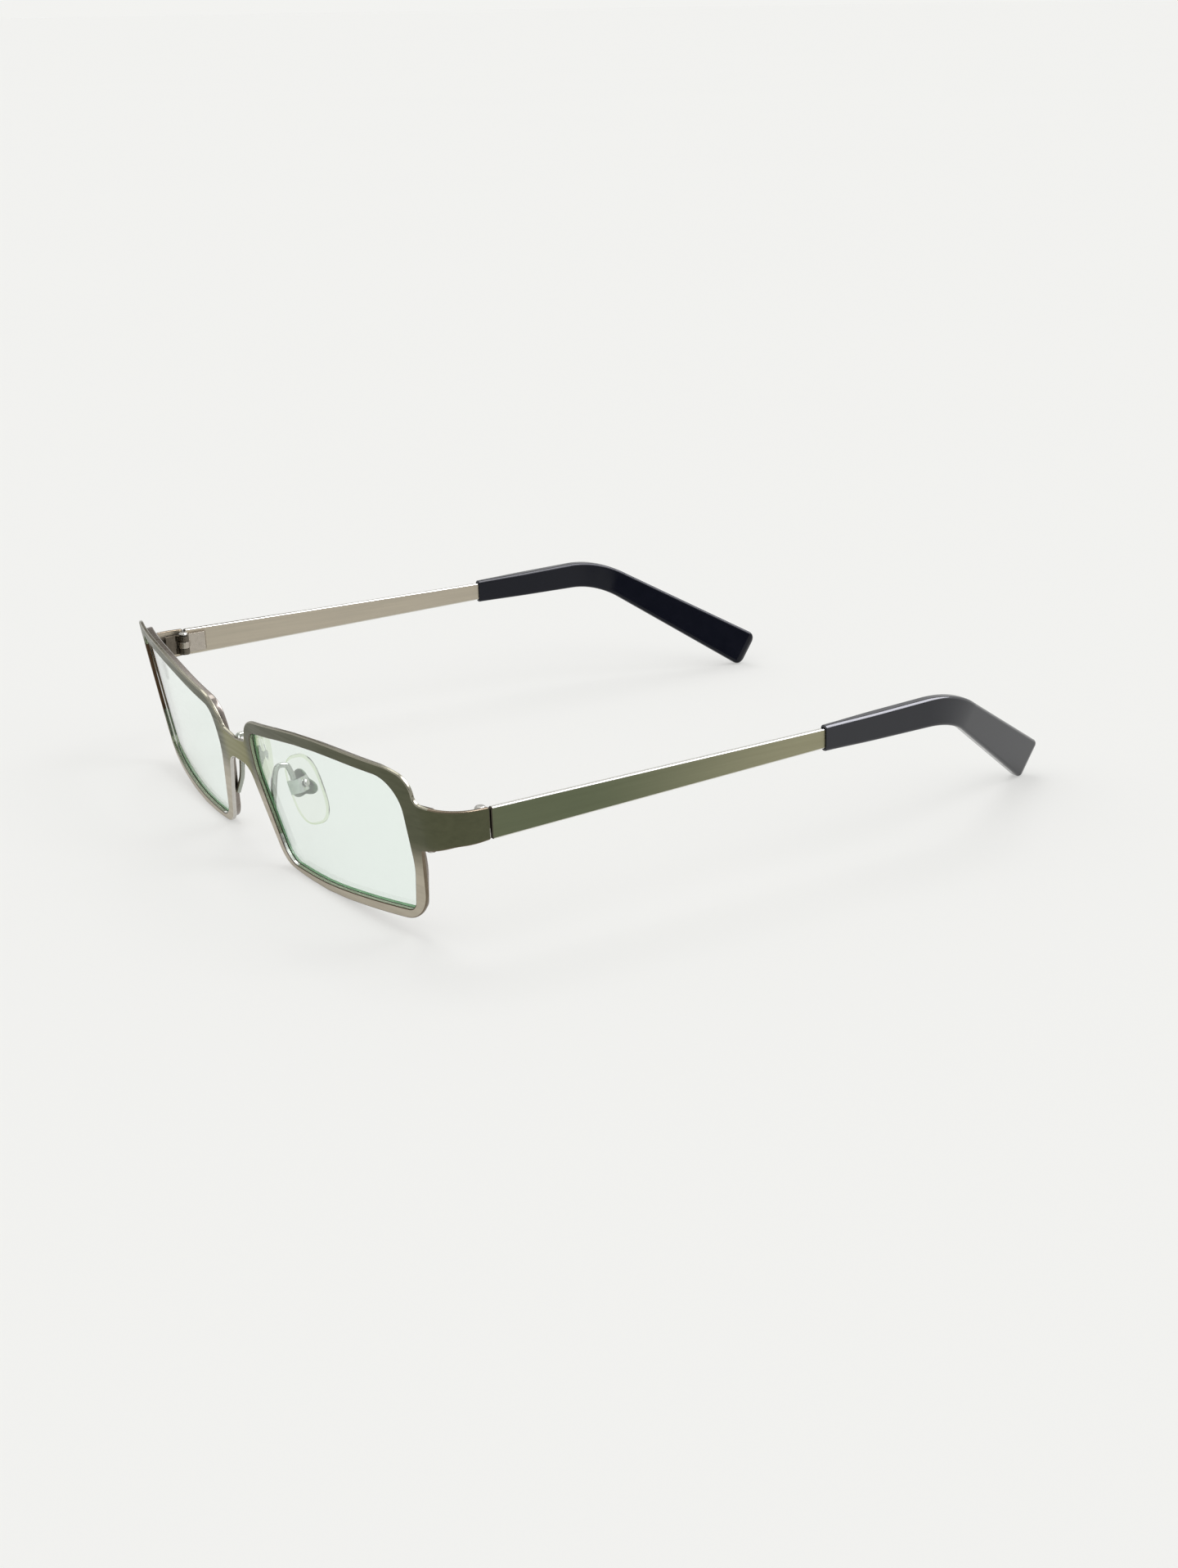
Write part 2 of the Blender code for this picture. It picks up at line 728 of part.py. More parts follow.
def add_pad_box(looks, axes, side, name):
    """A small trough whose two ears stand either side of the pad's lug, and the screw through them."""
    inside = LUG_WIDTH / 2 + BOX_CLEARANCE
    outside = inside + BOX_WALL
    back = box_back()
    mouth = back - BOX_DEPTH
    outline = [
        (mouth, -outside),
        (back, -outside),
        (back, outside),
        (mouth, outside),
        (mouth, inside),
        (back - BOX_WALL, inside),
        (back - BOX_WALL, -inside),
        (mouth, -inside),
    ]
    shape = upright(prism([outline], -BOX_HEIGHT / 2, BOX_HEIGHT / 2))
    box = add_object(name + "_pad_box", shape, looks["bright_steel"], axes, side)
    bore = prism([circle(0, 0, PAD_SHANK_RADIUS + BORE_CLEARANCE)], -2 * outside, 2 * outside)
    cut(box, [add_object(name + "_box_bore", bore, looks["bright_steel"], axes, side)])
    seat = outside + BORE_CLEARANCE
    shape = screw(PAD_SHANK_RADIUS, PAD_HEAD_RADIUS, PAD_HEAD_HEIGHT, -outside - PIN_END, seat)
    bmesh.ops.rotate(shape, matrix=Matrix.Rotation(-math.pi / 2, 3, "X"), verts=shape.verts)
    add_object(name + "_pad_screw", shape, looks["screw_steel"], axes, side)


def nose_edge(z):
    """Where the opening's nose side lies at a height below its knee."""
    share = (NOSE_KNEE_HEIGHT - z) / (NOSE_KNEE_HEIGHT + OPENING_BOTTOM)
    return NOSE_HALF + NOSE_BOTTOM_SLANT * share


def arm_route():
    """Points that the arm's smooth line passes, from its foot on the eyewire to the back of the box."""
    beside = EYEWIRE_WALL + SOLDER_GAP + ARM_RADIUS
    wire_back = PLATE_THICKNESS + SOLDER_GAP + EYEWIRE_DEPTH
    clear_of_lens = PLATE_THICKNESS + SOLDER_GAP + LENS_THICKNESS + RISE_CLEAR + ARM_RADIUS
    foot = on_front(nose_edge(ARM_FOOT) - beside, wire_back - ARM_RADIUS, ARM_FOOT)
    knee = on_front(nose_edge(ARM_KNEE) - beside, wire_back + KNEE_BEHIND, ARM_KNEE)
    rise = on_front(nose_edge(ARM_RISE), clear_of_lens, ARM_RISE)
    arch = Vector((ARCH_OUT, ARCH_BEHIND, ARCH_HEIGHT))
    axes = pad_matrix()
    top = BOX_HEIGHT / 2 + SOLDER_GAP
    seat = axes @ Vector((box_back() - ARM_RADIUS, 0, top))
    above = axes @ Vector((box_back() - ARM_RADIUS, 0, top + ARM_RUN_IN))
    fall = (arch + above) / 2 + Vector((0, FALL_BEHIND, FALL_RISE))
    return [foot, knee, rise, arch, fall, above, seat]


def smooth_line(route, steps=ARM_STEPS):
    """Points of a line through the route's points, curving evenly between them."""
    line = []
    for i in range(len(route) - 1):
        a, b = route[i], route[i + 1]
        before = route[i - 1] if i else a + (a - b)
        after = route[i + 2] if i + 2 < len(route) else b + (b - a)
        for k in range(steps):
            t = k / steps
            line.append(
                0.5
                * (
                    2 * a
                    + (b - before) * t
                    + (2 * before - 5 * a + 4 * b - after) * t**2
                    + (3 * a - before - 3 * b + after) * t**3
                )
            )
    line.append(route[-1])
    return line


def add_arm(looks, parent, side, name):
    line = smooth_line(arm_route())
    curve = bpy.data.curves.new(name + "_pad_arm", "CURVE")
    curve.dimensions = "3D"
    curve.bevel_depth = ARM_RADIUS * METRE
    curve.bevel_resolution = 1
    curve.use_fill_caps = True
    spline = curve.splines.new("POLY")
    spline.points.add(len(line) - 1)
    for point, place in zip(spline.points, line):
        point.co = (place.x * side * METRE, place.y * METRE, place.z * METRE, 1)
    curve.materials.append(looks["bright_steel"])
    made = bpy.data.objects.new(name + "_pad_arm", curve)
    bpy.context.scene.collection.objects.link(made)
    made.parent = parent


# Hinges and temples, in hinge axes: x outward, y along the temple, z up the pin, origin on the pin


def barrel_outline():
    return circle(0, 0, BARREL_RADIUS, BARREL_SIDES)


def barrel_bore():
    return circle(0, 0, PIN_RADIUS + BORE_CLEARANCE)


def in_barrel(degrees):
    """A point in the middle of a barrel's wall, where a web joins it."""
    radius = (BARREL_RADIUS + PIN_RADIUS + BORE_CLEARANCE) / 2
    angle = math.radians(degrees)
    return radius * math.cos(angle), radius * math.sin(angle)


def add_barrel(name, levels, web, looks, axes, side, leaf):
    """Joins bored barrels, and the webs that reach from them to the leaf, to the leaf."""
    for i, (low, high) in enumerate(levels):
        shape = upright(prism([barrel_outline()], low, high))
        cut(leaf, [add_object(f"{name}_barrel_{i}", shape, looks["bright_steel"], axes, side)], "UNION")
        shape = upright(prism([web], low, high))
        cut(leaf, [add_object(f"{name}_web_{i}", shape, looks["bright_steel"], axes, side)], "UNION")
    bore = upright(prism([barrel_bore()], -2 * BARREL_HALF, 2 * BARREL_HALF))
    cut(leaf, [add_object(name + "_bore", bore, looks["bright_steel"], axes, side)])


def add_front_leaf(looks, axes, side, name):
    """The hinge half on the endpiece: a leaf that follows the bend, with the upper and lower barrels."""
    bend_centre = HINGE_FROM_END - ENDPIECE_TAIL
    inner_radius = BEND_RADIUS - PLATE_THICKNESS
    face = HINGE_DEPTH - PLATE_THICKNESS - FRONT_LEAF_GAP
    outer = []
    for k in range(LEAF_STEPS + 1):
        y = -LEAF_BACKSET - FRONT_LEAF_LENGTH * k / LEAF_STEPS
        past = min(0.0, y - bend_centre)
        outer.append((face - (inner_radius - math.sqrt(inner_radius**2 - past**2)), y))
    inner = [(x - LEAF_THICKNESS, y) for x, y in reversed(outer)]
    shape = upright(prism([outer + inner], -BARREL_HALF, BARREL_HALF))
    leaf = add_object(name + "_hinge_front_leaf", shape, looks["bright_steel"], axes, side)
    hold = -LEAF_BACKSET - WEB_HOLD
    web = [(face, hold), (face - LEAF_THICKNESS, hold), in_barrel(-90), in_barrel(-60), in_barrel(-30)]
    gap = MIDDLE_BARREL_HALF + BARREL_GAP
    add_barrel(leaf.name, [(-BARREL_HALF, -gap), (gap, BARREL_HALF)], web, looks, axes, side, leaf)


def add_temple_leaf(looks, axes, side, name):
    """The hinge half on the temple: a leaf on its inner face, with the middle barrel."""
    face = HINGE_DEPTH - TEMPLE_THICKNESS - SOLDER_GAP
    end = LEAF_BACKSET + TEMPLE_LEAF_LENGTH
    outline = [
        (face, LEAF_BACKSET),
        (face, end),
        (face - LEAF_THICKNESS + LEAF_CHAMFER, end),
        (face - LEAF_THICKNESS, end - LEAF_CHAMFER),
        (face - LEAF_THICKNESS, LEAF_BACKSET),
    ]
    shape = upright(prism([outline], -BARREL_HALF, BARREL_HALF))
    leaf = add_object(name + "_hinge_temple_leaf", shape, looks["bright_steel"], axes, side)
    hold = LEAF_BACKSET + WEB_HOLD
    web = [(face, hold), (face - LEAF_THICKNESS, hold), in_barrel(100), in_barrel(60), in_barrel(20)]
    levels = [(-MIDDLE_BARREL_HALF, MIDDLE_BARREL_HALF)]
    add_barrel(leaf.name, levels, web, looks, axes, side, leaf)


def add_hinge_screw(looks, axes, side, name):
    seat = BARREL_HALF + BORE_CLEARANCE
    shape = screw(PIN_RADIUS, PIN_HEAD_RADIUS, PIN_HEAD_HEIGHT, -BARREL_HALF - PIN_END, seat)
    add_object(name + "_hinge_screw", shape, looks["screw_steel"], axes, side)


def temple_start():
    return HINGE_FROM_END + TEMPLE_GAP


def tip_start():
    return temple_start() + TEMPLE_LENGTH


def add_temple(looks, axes, side, name):
    """A flat strip that narrows to the back and ends in a core inside the tip."""
    sections = [
        (temple_start(), TEMPLE_HEIGHT_FRONT, TEMPLE_THICKNESS),
        (tip_start(), TEMPLE_HEIGHT_BACK, TEMPLE_THICKNESS),
        (tip_start(), CORE_HEIGHT, CORE_THICKNESS),
        (tip_start() + CORE_LENGTH, CORE_HEIGHT, CORE_THICKNESS),
    ]
    middle = HINGE_DEPTH - TEMPLE_THICKNESS / 2
    rings = []
    for y, height, thickness in sections:
        out, up = thickness / 2, height / 2
        corners = ((out, -up), (out, up), (-out, up), (-out, -up))
        rings.append([(middle + x, y, z) for x, z in corners])
    add_object(name + "_temple_bar", loft(rings), looks["gunmetal"], axes, side)


def tip_frame(drop, turn):
    """Direction along the tip, outward and up, once it has dropped and turned in by these angles."""
    ahead = Vector((0, math.cos(drop), -math.sin(drop)))
    up = Vector((0, math.sin(drop), math.cos(drop)))
    out = Vector((1, 0, 0))
    return math.cos(turn) * ahead - math.sin(turn) * out, math.cos(turn) * out + math.sin(turn) * ahead, up


def tip_places():
    """(centre, outward, up, height, thickness) of each cross-section along the tip."""
    drop, turn = math.radians(TIP_DROP), math.radians(TIP_TURN_IN)
    place = Vector((HINGE_DEPTH - TEMPLE_THICKNESS / 2, tip_start() + SOLDER_GAP, 0))
    ahead, out, up = tip_frame(0, 0)
    places = [(place, out, up, TIP_HEIGHT_FRONT, TIP_MOUTH_THICKNESS)]
    swell_height = TIP_HEIGHT_FRONT + (TIP_HEIGHT_BEND - TIP_HEIGHT_FRONT) * TIP_SWELL / TIP_STRAIGHT
    places.append((place + ahead * TIP_SWELL, out, up, swell_height, TIP_THICKNESS))
    place = place + ahead * TIP_STRAIGHT
    places.append((place, out, up, TIP_HEIGHT_BEND, TIP_THICKNESS))
    step = TIP_BEND_RADIUS * drop / TIP_BEND_STEPS
    for k in range(TIP_BEND_STEPS):
        share = (k + 0.5) / TIP_BEND_STEPS
        ahead = tip_frame(drop * share, turn * share)[0]
        place = place + ahead * step
        share = (k + 1) / TIP_BEND_STEPS
        places.append((place, *tip_frame(drop * share, turn * share)[1:], TIP_HEIGHT_BEND, TIP_THICKNESS))
    ahead, out, up = tip_frame(drop, turn)
    body = place + ahead * (TIP_DROP_LENGTH - TIP_END_ROUND)
    places.append((body, out, up, TIP_HEIGHT_END, TIP_THICKNESS))
    return places, ahead


def tip_section(place, out, up, height, width):
    half_up, half_out = height / 2, width / 2
    corner = min(TIP_EDGE_RADIUS, EDGE_ROOM * half_out)
    corners = [
        (half_out, half_up, corner),
        (-half_out, half_up, corner),
        (-half_out, -half_up, corner),
        (half_out, -half_up, corner),
    ]
    ring = []
    for a, b, radius in corners:
        inset = Vector((math.copysign(radius, a), math.copysign(radius, b)))
        centre = Vector((a, b)) - inset
        start = math.atan2(b, a)
        start = math.floor(start / (math.pi / 2)) * math.pi / 2
        for k in range(3):
            angle = start + math.pi / 4 * k
            spot = centre + radius * Vector((math.cos(angle), math.sin(angle)))
            ring.append(place + out * spot.x + up * spot.y)
    return ring


def add_tip(looks, axes, side, name):
    """A black tip that drops behind the ear and turns in, slotted for the temple's core."""
    places, ahead = tip_places()
    rings = [tip_section(*place) for place in places]
    body, out, up, height, thickness = places[-1]
    for k in range(1, TIP_END_STEPS + 1):
        angle = math.pi / 2 * k / TIP_END_STEPS
        inset = TIP_END_ROUND * (1 - math.cos(angle))
        end = body + ahead * TIP_END_ROUND * math.sin(angle)
        rings.append(tip_section(end, out, up, height - 2 * inset, thickness - inset))
    tip = add_object(name + "_temple_tip", loft(rings), looks["black_plastic"], axes, side)
    half_up = CORE_HEIGHT / 2 + CORE_CLEARANCE
    half_out = CORE_THICKNESS / 2 + CORE_CLEARANCE
    middle = HINGE_DEPTH - TEMPLE_THICKNESS / 2
    inner, outer = middle - half_out, middle + half_out
    mouth = tip_start() - TEMPLE_GAP
    bottom = tip_start() + CORE_LENGTH + CORE_CLEARANCE
    outline = [(inner, mouth), (outer, mouth), (outer, bottom), (inner, bottom)]
    slot = upright(prism([outline], -half_up, half_up))
    cut(tip, [add_object(name + "_tip_slot", slot, looks["black_plastic"], axes, side)])


# Assembly


def hinge_place():
    """The pin's place in front axes on the left side."""
    return on_front(plan_length() - HINGE_FROM_END, HINGE_DEPTH, HINGE_HEIGHT)


def rest_on_floor(root, front, tips):
    """Leans the glasses so that the rims and tips both touch the floor, and centres them over the origin."""
    for _ in range(FLOOR_PASSES):
        bpy.context.view_layer.update()
        low = []
        for group in (front, tips):
            points = [thing.matrix_world @ vert.co for thing in group for vert in thing.data.vertices]
            low.append(min(points, key=lambda point: point.z))
        root.rotation_euler.x -= math.atan2(low[1].z - low[0].z, low[1].y - low[0].y)
    bpy.context.view_layer.update()
    corners = [thing.matrix_world @ vert.co for thing in front + tips for vert in thing.data.vertices]
    root.location.z = -min(corner.z for corner in corners)
    root.location.y = -(min(corner.y for corner in corners) + max(corner.y for corner in corners)) / 2


def main():
    clear_scene()
    looks = make_materials()
    root = add_empty("front_axes", None)
    plate = add_plate(looks, root)
    hinge = hinge_place()
    pad = pad_matrix()
    for side, name in ((1, "left"), (-1, "right")):
        add_eyewire(looks, root, side, name)
        add_lens(looks, root, side, name)
        add_closing(looks, root, side, name)
        place, turn = pad.translation, pad.to_euler()
        turn = (turn.x, turn.y * side, turn.z * side)
        pad_axes = add_empty(name + "_pad_axes", root, (place.x * side, place.y, place.z), turn)
        add_pad(looks, pad_axes, side, name)
        add_pad_box(looks, pad_axes, side, name)
        add_arm(looks, root, side, name)
        hinge_turn = (-math.radians(TEMPLE_PITCH), 0, math.radians(TEMPLE_TOE_IN) * side)
        hinge_axes = add_empty(name + "_hinge_axes", root, (hinge.x * side, hinge.y, hinge.z), hinge_turn)
        add_front_leaf(looks, hinge_axes, side, name)
        add_temple_leaf(looks, hinge_axes, side, name)
        add_hinge_screw(looks, hinge_axes, side, name)
        add_temple(looks, hinge_axes, side, name)
        add_tip(looks, hinge_axes, side, name)
    front = [plate]
    tips = [bpy.data.objects[name + "_temple_tip"] for name in ("left", "right")]
    rest_on_floor(root, front, tips)


main()
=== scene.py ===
"""Rectangular metal eyeglasses with pale green lenses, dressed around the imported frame.

The stamped front, eyewires, lenses, temples, tips, pads and their wires are remade here with finely
cut curves and rounded edges, from the same sizes as the solids. The small blocks, boxes, hinges and
screws are the solids themselves, with their edges broken and a better finish.

Shapes are drawn in millimetres for the left side, in the front's own axes, a hinge's or a pad's, and
mirrored for the right. Colours are linear.
"""

import json
from math import atan2, ceil, copysign, cos, pi, radians, sin, tan

import bpy
from mathutils import Euler, Matrix, Vector
from mathutils.geometry import delaunay_2d_cdt


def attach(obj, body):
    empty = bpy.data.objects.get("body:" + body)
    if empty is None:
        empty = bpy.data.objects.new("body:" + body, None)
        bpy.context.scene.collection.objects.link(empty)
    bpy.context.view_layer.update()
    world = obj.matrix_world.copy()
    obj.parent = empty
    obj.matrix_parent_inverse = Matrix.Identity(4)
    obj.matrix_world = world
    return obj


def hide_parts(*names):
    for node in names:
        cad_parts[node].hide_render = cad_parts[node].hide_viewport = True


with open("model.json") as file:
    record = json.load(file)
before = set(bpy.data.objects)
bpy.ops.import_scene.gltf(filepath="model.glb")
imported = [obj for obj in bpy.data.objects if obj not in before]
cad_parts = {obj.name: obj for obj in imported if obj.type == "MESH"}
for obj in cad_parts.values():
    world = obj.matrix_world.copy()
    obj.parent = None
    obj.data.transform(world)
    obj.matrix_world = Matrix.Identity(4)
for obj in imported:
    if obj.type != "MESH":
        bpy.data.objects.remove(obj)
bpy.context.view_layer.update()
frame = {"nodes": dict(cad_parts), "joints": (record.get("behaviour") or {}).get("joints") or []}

MM = 0.001

# Lens opening in the flat front plate: s runs outward from the middle of the bridge, z is up
NOSE_HALF = 7.5
OPENING_WIDTH = 49.0
OPENING_TOP = 13.2
OPENING_BOTTOM = 14.1
CREST_FROM_NOSE = 24.0
BELLY_FROM_NOSE = 20.0
NOSE_TOP_DROP = 3.5
NOSE_TOP_SLANT = 1.4
TEMPLE_TOP_DROP = 1.1
NOSE_BOTTOM_SLANT = 6.0
NOSE_KNEE_HEIGHT = 3.0
TEMPLE_BOTTOM_SLANT = 2.4
TEMPLE_BOTTOM_RISE = 2.1
TEMPLE_KNEE_DEPTH = 3.5
NOSE_TOP_RADIUS = 3.2
NOSE_BOTTOM_RADIUS = 4.6
TEMPLE_TOP_RADIUS = 6.0
TEMPLE_BOTTOM_RADIUS = 2.6
KNEE_RADIUS = 14.0
CREST_RADIUS = 100.0

# Widths of the rim face around the opening
RIM_TOP = 2.2
RIM_BOTTOM = 1.7
RIM_NOSE = 2.5
RIM_NOSE_TOP = 1.3
RIM_NOSE_BOTTOM = 1.7
RIM_TEMPLE = 3.1
RIM_TEMPLE_BOTTOM = 2.8
RIM_NOSE_CORNER_RADIUS = 8.0
RIM_SHOULDER_IN = 5.0
RIM_SHOULDER_RADIUS = 12.0
RIM_CORNER_DROP = 1.4
RIM_TEMPLE_CORNER_RADIUS = 4.0
RIM_NOSE_BOTTOM_RADIUS = 5.0
RIM_TEMPLE_BOTTOM_RADIUS = 7.5
NOSE_BOTTOM_RISE = 0.8

# Bridge and endpieces of the plate
PLATE_THICKNESS = 0.7
PLATE_EDGE = 0.2
SHARP_CORNER = 0.4
BRIDGE_TOP = 6.0
BRIDGE_SHOULDER = 6.9
BRIDGE_BOTTOM = 1.5
BRIDGE_CORNER_IN = 0.75
BRIDGE_FILLET = 3.5
BRIDGE_TOP_FILLET = 1.6
ENDPIECE_TOP = 8.75
ENDPIECE_BOTTOM = 0.1
ENDPIECE_TOP_FILLET = 1.6
ENDPIECE_ARCH = 0.75
ENDPIECE_NOTCH = 0.3

# Where painted shade, painted dark reflection and a painted glint go on the plate's edges and the walls
# of its openings
GAP_SHADE_DEPTH = 0.32
WALL_SIDE_IN = 0.7
RIM_TOP_RISE = 1.0
RIM_LOW_TOP = 1.4
RIM_LOW_OUT = 15.0
FILLET_RUN = 2.5
CORNER_GLINT_TOP = -9.5
CORNER_GLINT_OUT = 17.0

# Plan line of the plate, seen from above
FRONT_RADIUS = 170.0
FRONT_APEX = 12.0
BRIDGE_RUN = 5.0
BEND_CLEAR = 0.6
BEND_RADIUS = 8.0
ENDPIECE_TAIL = 1.7
TEMPLE_TOE_IN = 1.7
TEMPLE_PITCH = 9.6

# Eyewire and lens: offsets outward from the opening's edge, depths behind the plate's front face
SOLDER_GAP = 0.1
EYEWIRE_LIP = 0.15
EYEWIRE_WALL = 1.2
EYEWIRE_DEPTH = 1.3
EYEWIRE_EDGE = 0.3
EYEWIRE_CORNER = 0.1
GROOVE_DEPTH = 0.6
GROOVE_WIDTH = 0.65
SPLIT_HEIGHT = 4.2
SPLIT_GAP = 0.2
LENS_SEAT_GAP = 0.05
LENS_THICKNESS = 1.5
LENS_BEVEL = 0.55
LENS_BEVEL_WIDTH = 0.4
LENS_EDGE = 0.08
LENS_BAND = 1.15
BAND_SPLIT = 0.55
LENS_SIDE_IN = 0.9

# Nose pads
PAD_SCREW_OUT = 10.1
PAD_SCREW_BEHIND = 7.2
PAD_SCREW_HEIGHT = -2.6
PAD_SPLAY = 56.0
PAD_FLARE = 16.0
PAD_LENGTH = 13.4
PAD_WIDTH = 7.1
PAD_SQUARENESS = 2.8
PAD_THICKNESS = 1.7
PAD_AHEAD = 0.35
PAD_EDGE = 0.5
PAD_CROWN = 0.03
LUG_LENGTH = 2.3
LUG_WIDTH = 1.2
LUG_HEIGHT = 2.0
LUG_RISE = 1.5
LUG_CORNER = 0.3
LUG_EDGE = 0.2
INSERT_REACH = 2.4
INSERT_LOBE = 0.6
INSERT_AHEAD = 0.72
INSERT_DROP = 0.45
INSERT_THICKNESS = 0.45
INSERT_EDGE = 0.12
INSERT_DEPTH = 0.1
PAD_PIVOT = 1.3
BOX_WALL = 0.45
BOX_HEIGHT = 2.6
BOX_END_CLEARANCE = 0.3
ARM_RADIUS = 0.5
ARM_FOOT = -8.2
ARM_KNEE = -4.8
ARM_RISE = -0.4
KNEE_BEHIND = 0.6
ARM_RUN_IN = 1.0
ARCH_HEIGHT = 2.0
ARCH_OUT = 9.9
ARCH_BEHIND = 4.1
RISE_CLEAR = 0.95
FALL_BEHIND = 0.5
FALL_RISE = 0.8

# Hinges
HINGE_HEIGHT = 3.35
HINGE_DEPTH = 2.2
HINGE_FROM_END = 0.55
TEMPLE_GAP = 0.15

# Temples and tips
TEMPLE_THICKNESS = 1.0
TEMPLE_EDGE = 0.22
TEMPLE_LENGTH = 67.9
TEMPLE_HEIGHT_FRONT = 5.5
TEMPLE_HEIGHT_BACK = 3.6
TEMPLE_IN_TIP = 0.5
TIP_MOUTH_THICKNESS = 1.7
TIP_THICKNESS = 2.4
TIP_SWELL = 12.0
TIP_HEIGHT_FRONT = 4.75
TIP_HEIGHT_BEND = 5.5
TIP_HEIGHT_END = 7.9
TIP_STRAIGHT = 23.2
TIP_BEND_RADIUS = 22.5
TIP_DROP = 33.0
TIP_TURN_IN = 20.0
TIP_DROP_LENGTH = 33.8
TIP_EDGE_RADIUS = 0.7
TIP_END_ROUND = 1.6
TIP_END_INSIDE = 0.06
TIP_LIP = 0.18
TIP_RECESS = 1.0
TIP_RECESS_GAP = 0.12
TIP_CORNER_SHARE = 0.46
HOLLOW_CORNER = 0.25
HOLLOW_LIP = 0.06

# The share of a run that the arcs at its ends may take
CORNER_ROOM = 0.98

# How finely the curves are cut
ARC_STEP = radians(5)
EDGE_STEPS = 5
RUN_STEP = 0.9
BEND_STEP = 0.45
PLATE_FILL = (BEND_STEP, 1.1)
LENS_FILL = (RUN_STEP * 1.5, 3.0)
TEMPLE_FILL = (2.0, 2.0)
LUG_FILL = (0.5, 0.5)
INSERT_FILL = (0.7, 0.7)
FILL_CLEAR = 0.3
SECTION_STEP = radians(22)
SECTION_RUN = 5.0
PAD_POINTS = 48
PAD_STEPS = 7
LUG_STEP = radians(15)
LUG_RUN = 0.5
INSERT_POINTS = 60
SMALL_STEPS = 3
TIP_STEPS = 24
TIP_CORNER_STEPS = 8
TIP_LIP_STEPS = 3
TIP_END_STEPS = 6

# On the solids that stay: faces within the first angle are joined, edges over the second are broken
FLAT_ANGLE = radians(2)
BROKEN_ANGLE = radians(40)


# The plan line that the plate, eyewires and lenses are bent to


OPENING_END = NOSE_HALF + OPENING_WIDTH
RIM_EDGE = OPENING_END + RIM_TEMPLE
BEND_START = RIM_EDGE + BEND_CLEAR


def plan_runs():
    """(length, turn) of each run of the plan line, from the middle of the bridge outward."""
    dip = (FRONT_APEX - BRIDGE_RUN) / FRONT_RADIUS
    run = BEND_START - BRIDGE_RUN
    bend = radians(90 + TEMPLE_TOE_IN) - (run / FRONT_RADIUS - dip)
    return [
        (BRIDGE_RUN, -dip),
        (run, run / FRONT_RADIUS),
        (BEND_RADIUS * bend, bend),
        (ENDPIECE_TAIL, 0.0),
    ]


def plan_length():
    return sum(length for length, _ in plan_runs())


def plan_point(s):
    """Point and heading on the plan line at a distance s from the middle."""
    x = y = heading = 0.0
    left = s
    runs = plan_runs()
    for i, (length, turn) in enumerate(runs):
        step = left if i == len(runs) - 1 else min(left, length)
        if turn:
            radius = length / turn
            after = heading + turn * step / length
            x += radius * (sin(after) - sin(heading))
            y += radius * (cos(heading) - cos(after))
            heading = after
        else:
            x += step * cos(heading)
            y += step * sin(heading)
        left -= step
        if left <= 0:
            break
    return x, y, heading


def bent(point, normal):
    """A point (s, depth, z) of the flat blank and its normal, laid on the bent front."""
    s, depth, z = point
    x, y, heading = plan_point(abs(s))
    x, heading = copysign(x, s), copysign(heading, s)
    along = Vector((cos(heading), sin(heading), 0))
    behind = Vector((-sin(heading), cos(heading), 0))
    spot = Vector((x, y, z)) + behind * depth
    return spot, along * normal[0] + behind * normal[1] + Vector((0, 0, normal[2]))


def on_front(s, depth, z):
    return bent((s, depth, z), (0, 0, 0))[0]


# Axes of the front, hinges and pads in the world


def front_axes():
    """The front's own axes, from the left temple's joint in the frame."""
    joint = next(joint for joint in frame["joints"] if joint["name"] == "left_temple_fold")
    pitch, toe = radians(TEMPLE_PITCH), radians(TEMPLE_TOE_IN)
    own = atan2(cos(toe) * sin(pitch), cos(pitch))
    world = atan2(joint["axis"][1], joint["axis"][2])
    turn = Matrix.Rotation(own - world, 4, "X")
    place = Vector(joint["pos_m"]) - (turn @ hinge_place()) * MM
    return Matrix.Translation(place) @ turn @ Matrix.Scale(MM, 4)


def hinge_place():
    return on_front(plan_length() - HINGE_FROM_END, HINGE_DEPTH, HINGE_HEIGHT)


def hinge_axes(side):
    place = hinge_place()
    place.x *= side
    turn = Euler((-radians(TEMPLE_PITCH), 0, radians(TEMPLE_TOE_IN) * side))
    return FRONT @ Matrix.Translation(place) @ turn.to_matrix().to_4x4()


def pad_turn(side):
    flare = Matrix.Rotation(-radians(PAD_FLARE) * side, 4, "Y")
    splay = Matrix.Rotation(-radians(PAD_SPLAY) * side, 4, "Z")
    place = (PAD_SCREW_OUT * side, PAD_SCREW_BEHIND, PAD_SCREW_HEIGHT)
    return Matrix.Translation(place) @ flare @ splay


FRONT = front_axes()


# Outlines


def corner_arcs(corners):
    """(corner, half of its angle, run that its arc takes) of each corner (a, b, radius) of an outline.

    Where a run is too short for the arcs at both of its ends, they share it.
    """
    spots = [Vector(corner[:2]) for corner in corners]
    count = len(spots)
    halves, reaches = [], []
    for i, spot in enumerate(spots):
        halves.append((spots[i - 1] - spot).angle(spots[(i + 1) % count] - spot) / 2)
        reaches.append(corners[i][2] / tan(halves[i]))
    shares = []
    for i, spot in enumerate(spots):
        m = (i + 1) % count
        room = CORNER_ROOM * (spots[m] - spot).length
        shares.append(room / max(room, reaches[i] + reaches[m]))
    return [(spots[i], halves[i], reaches[i] * min(shares[i - 1], shares[i])) for i in range(count)]


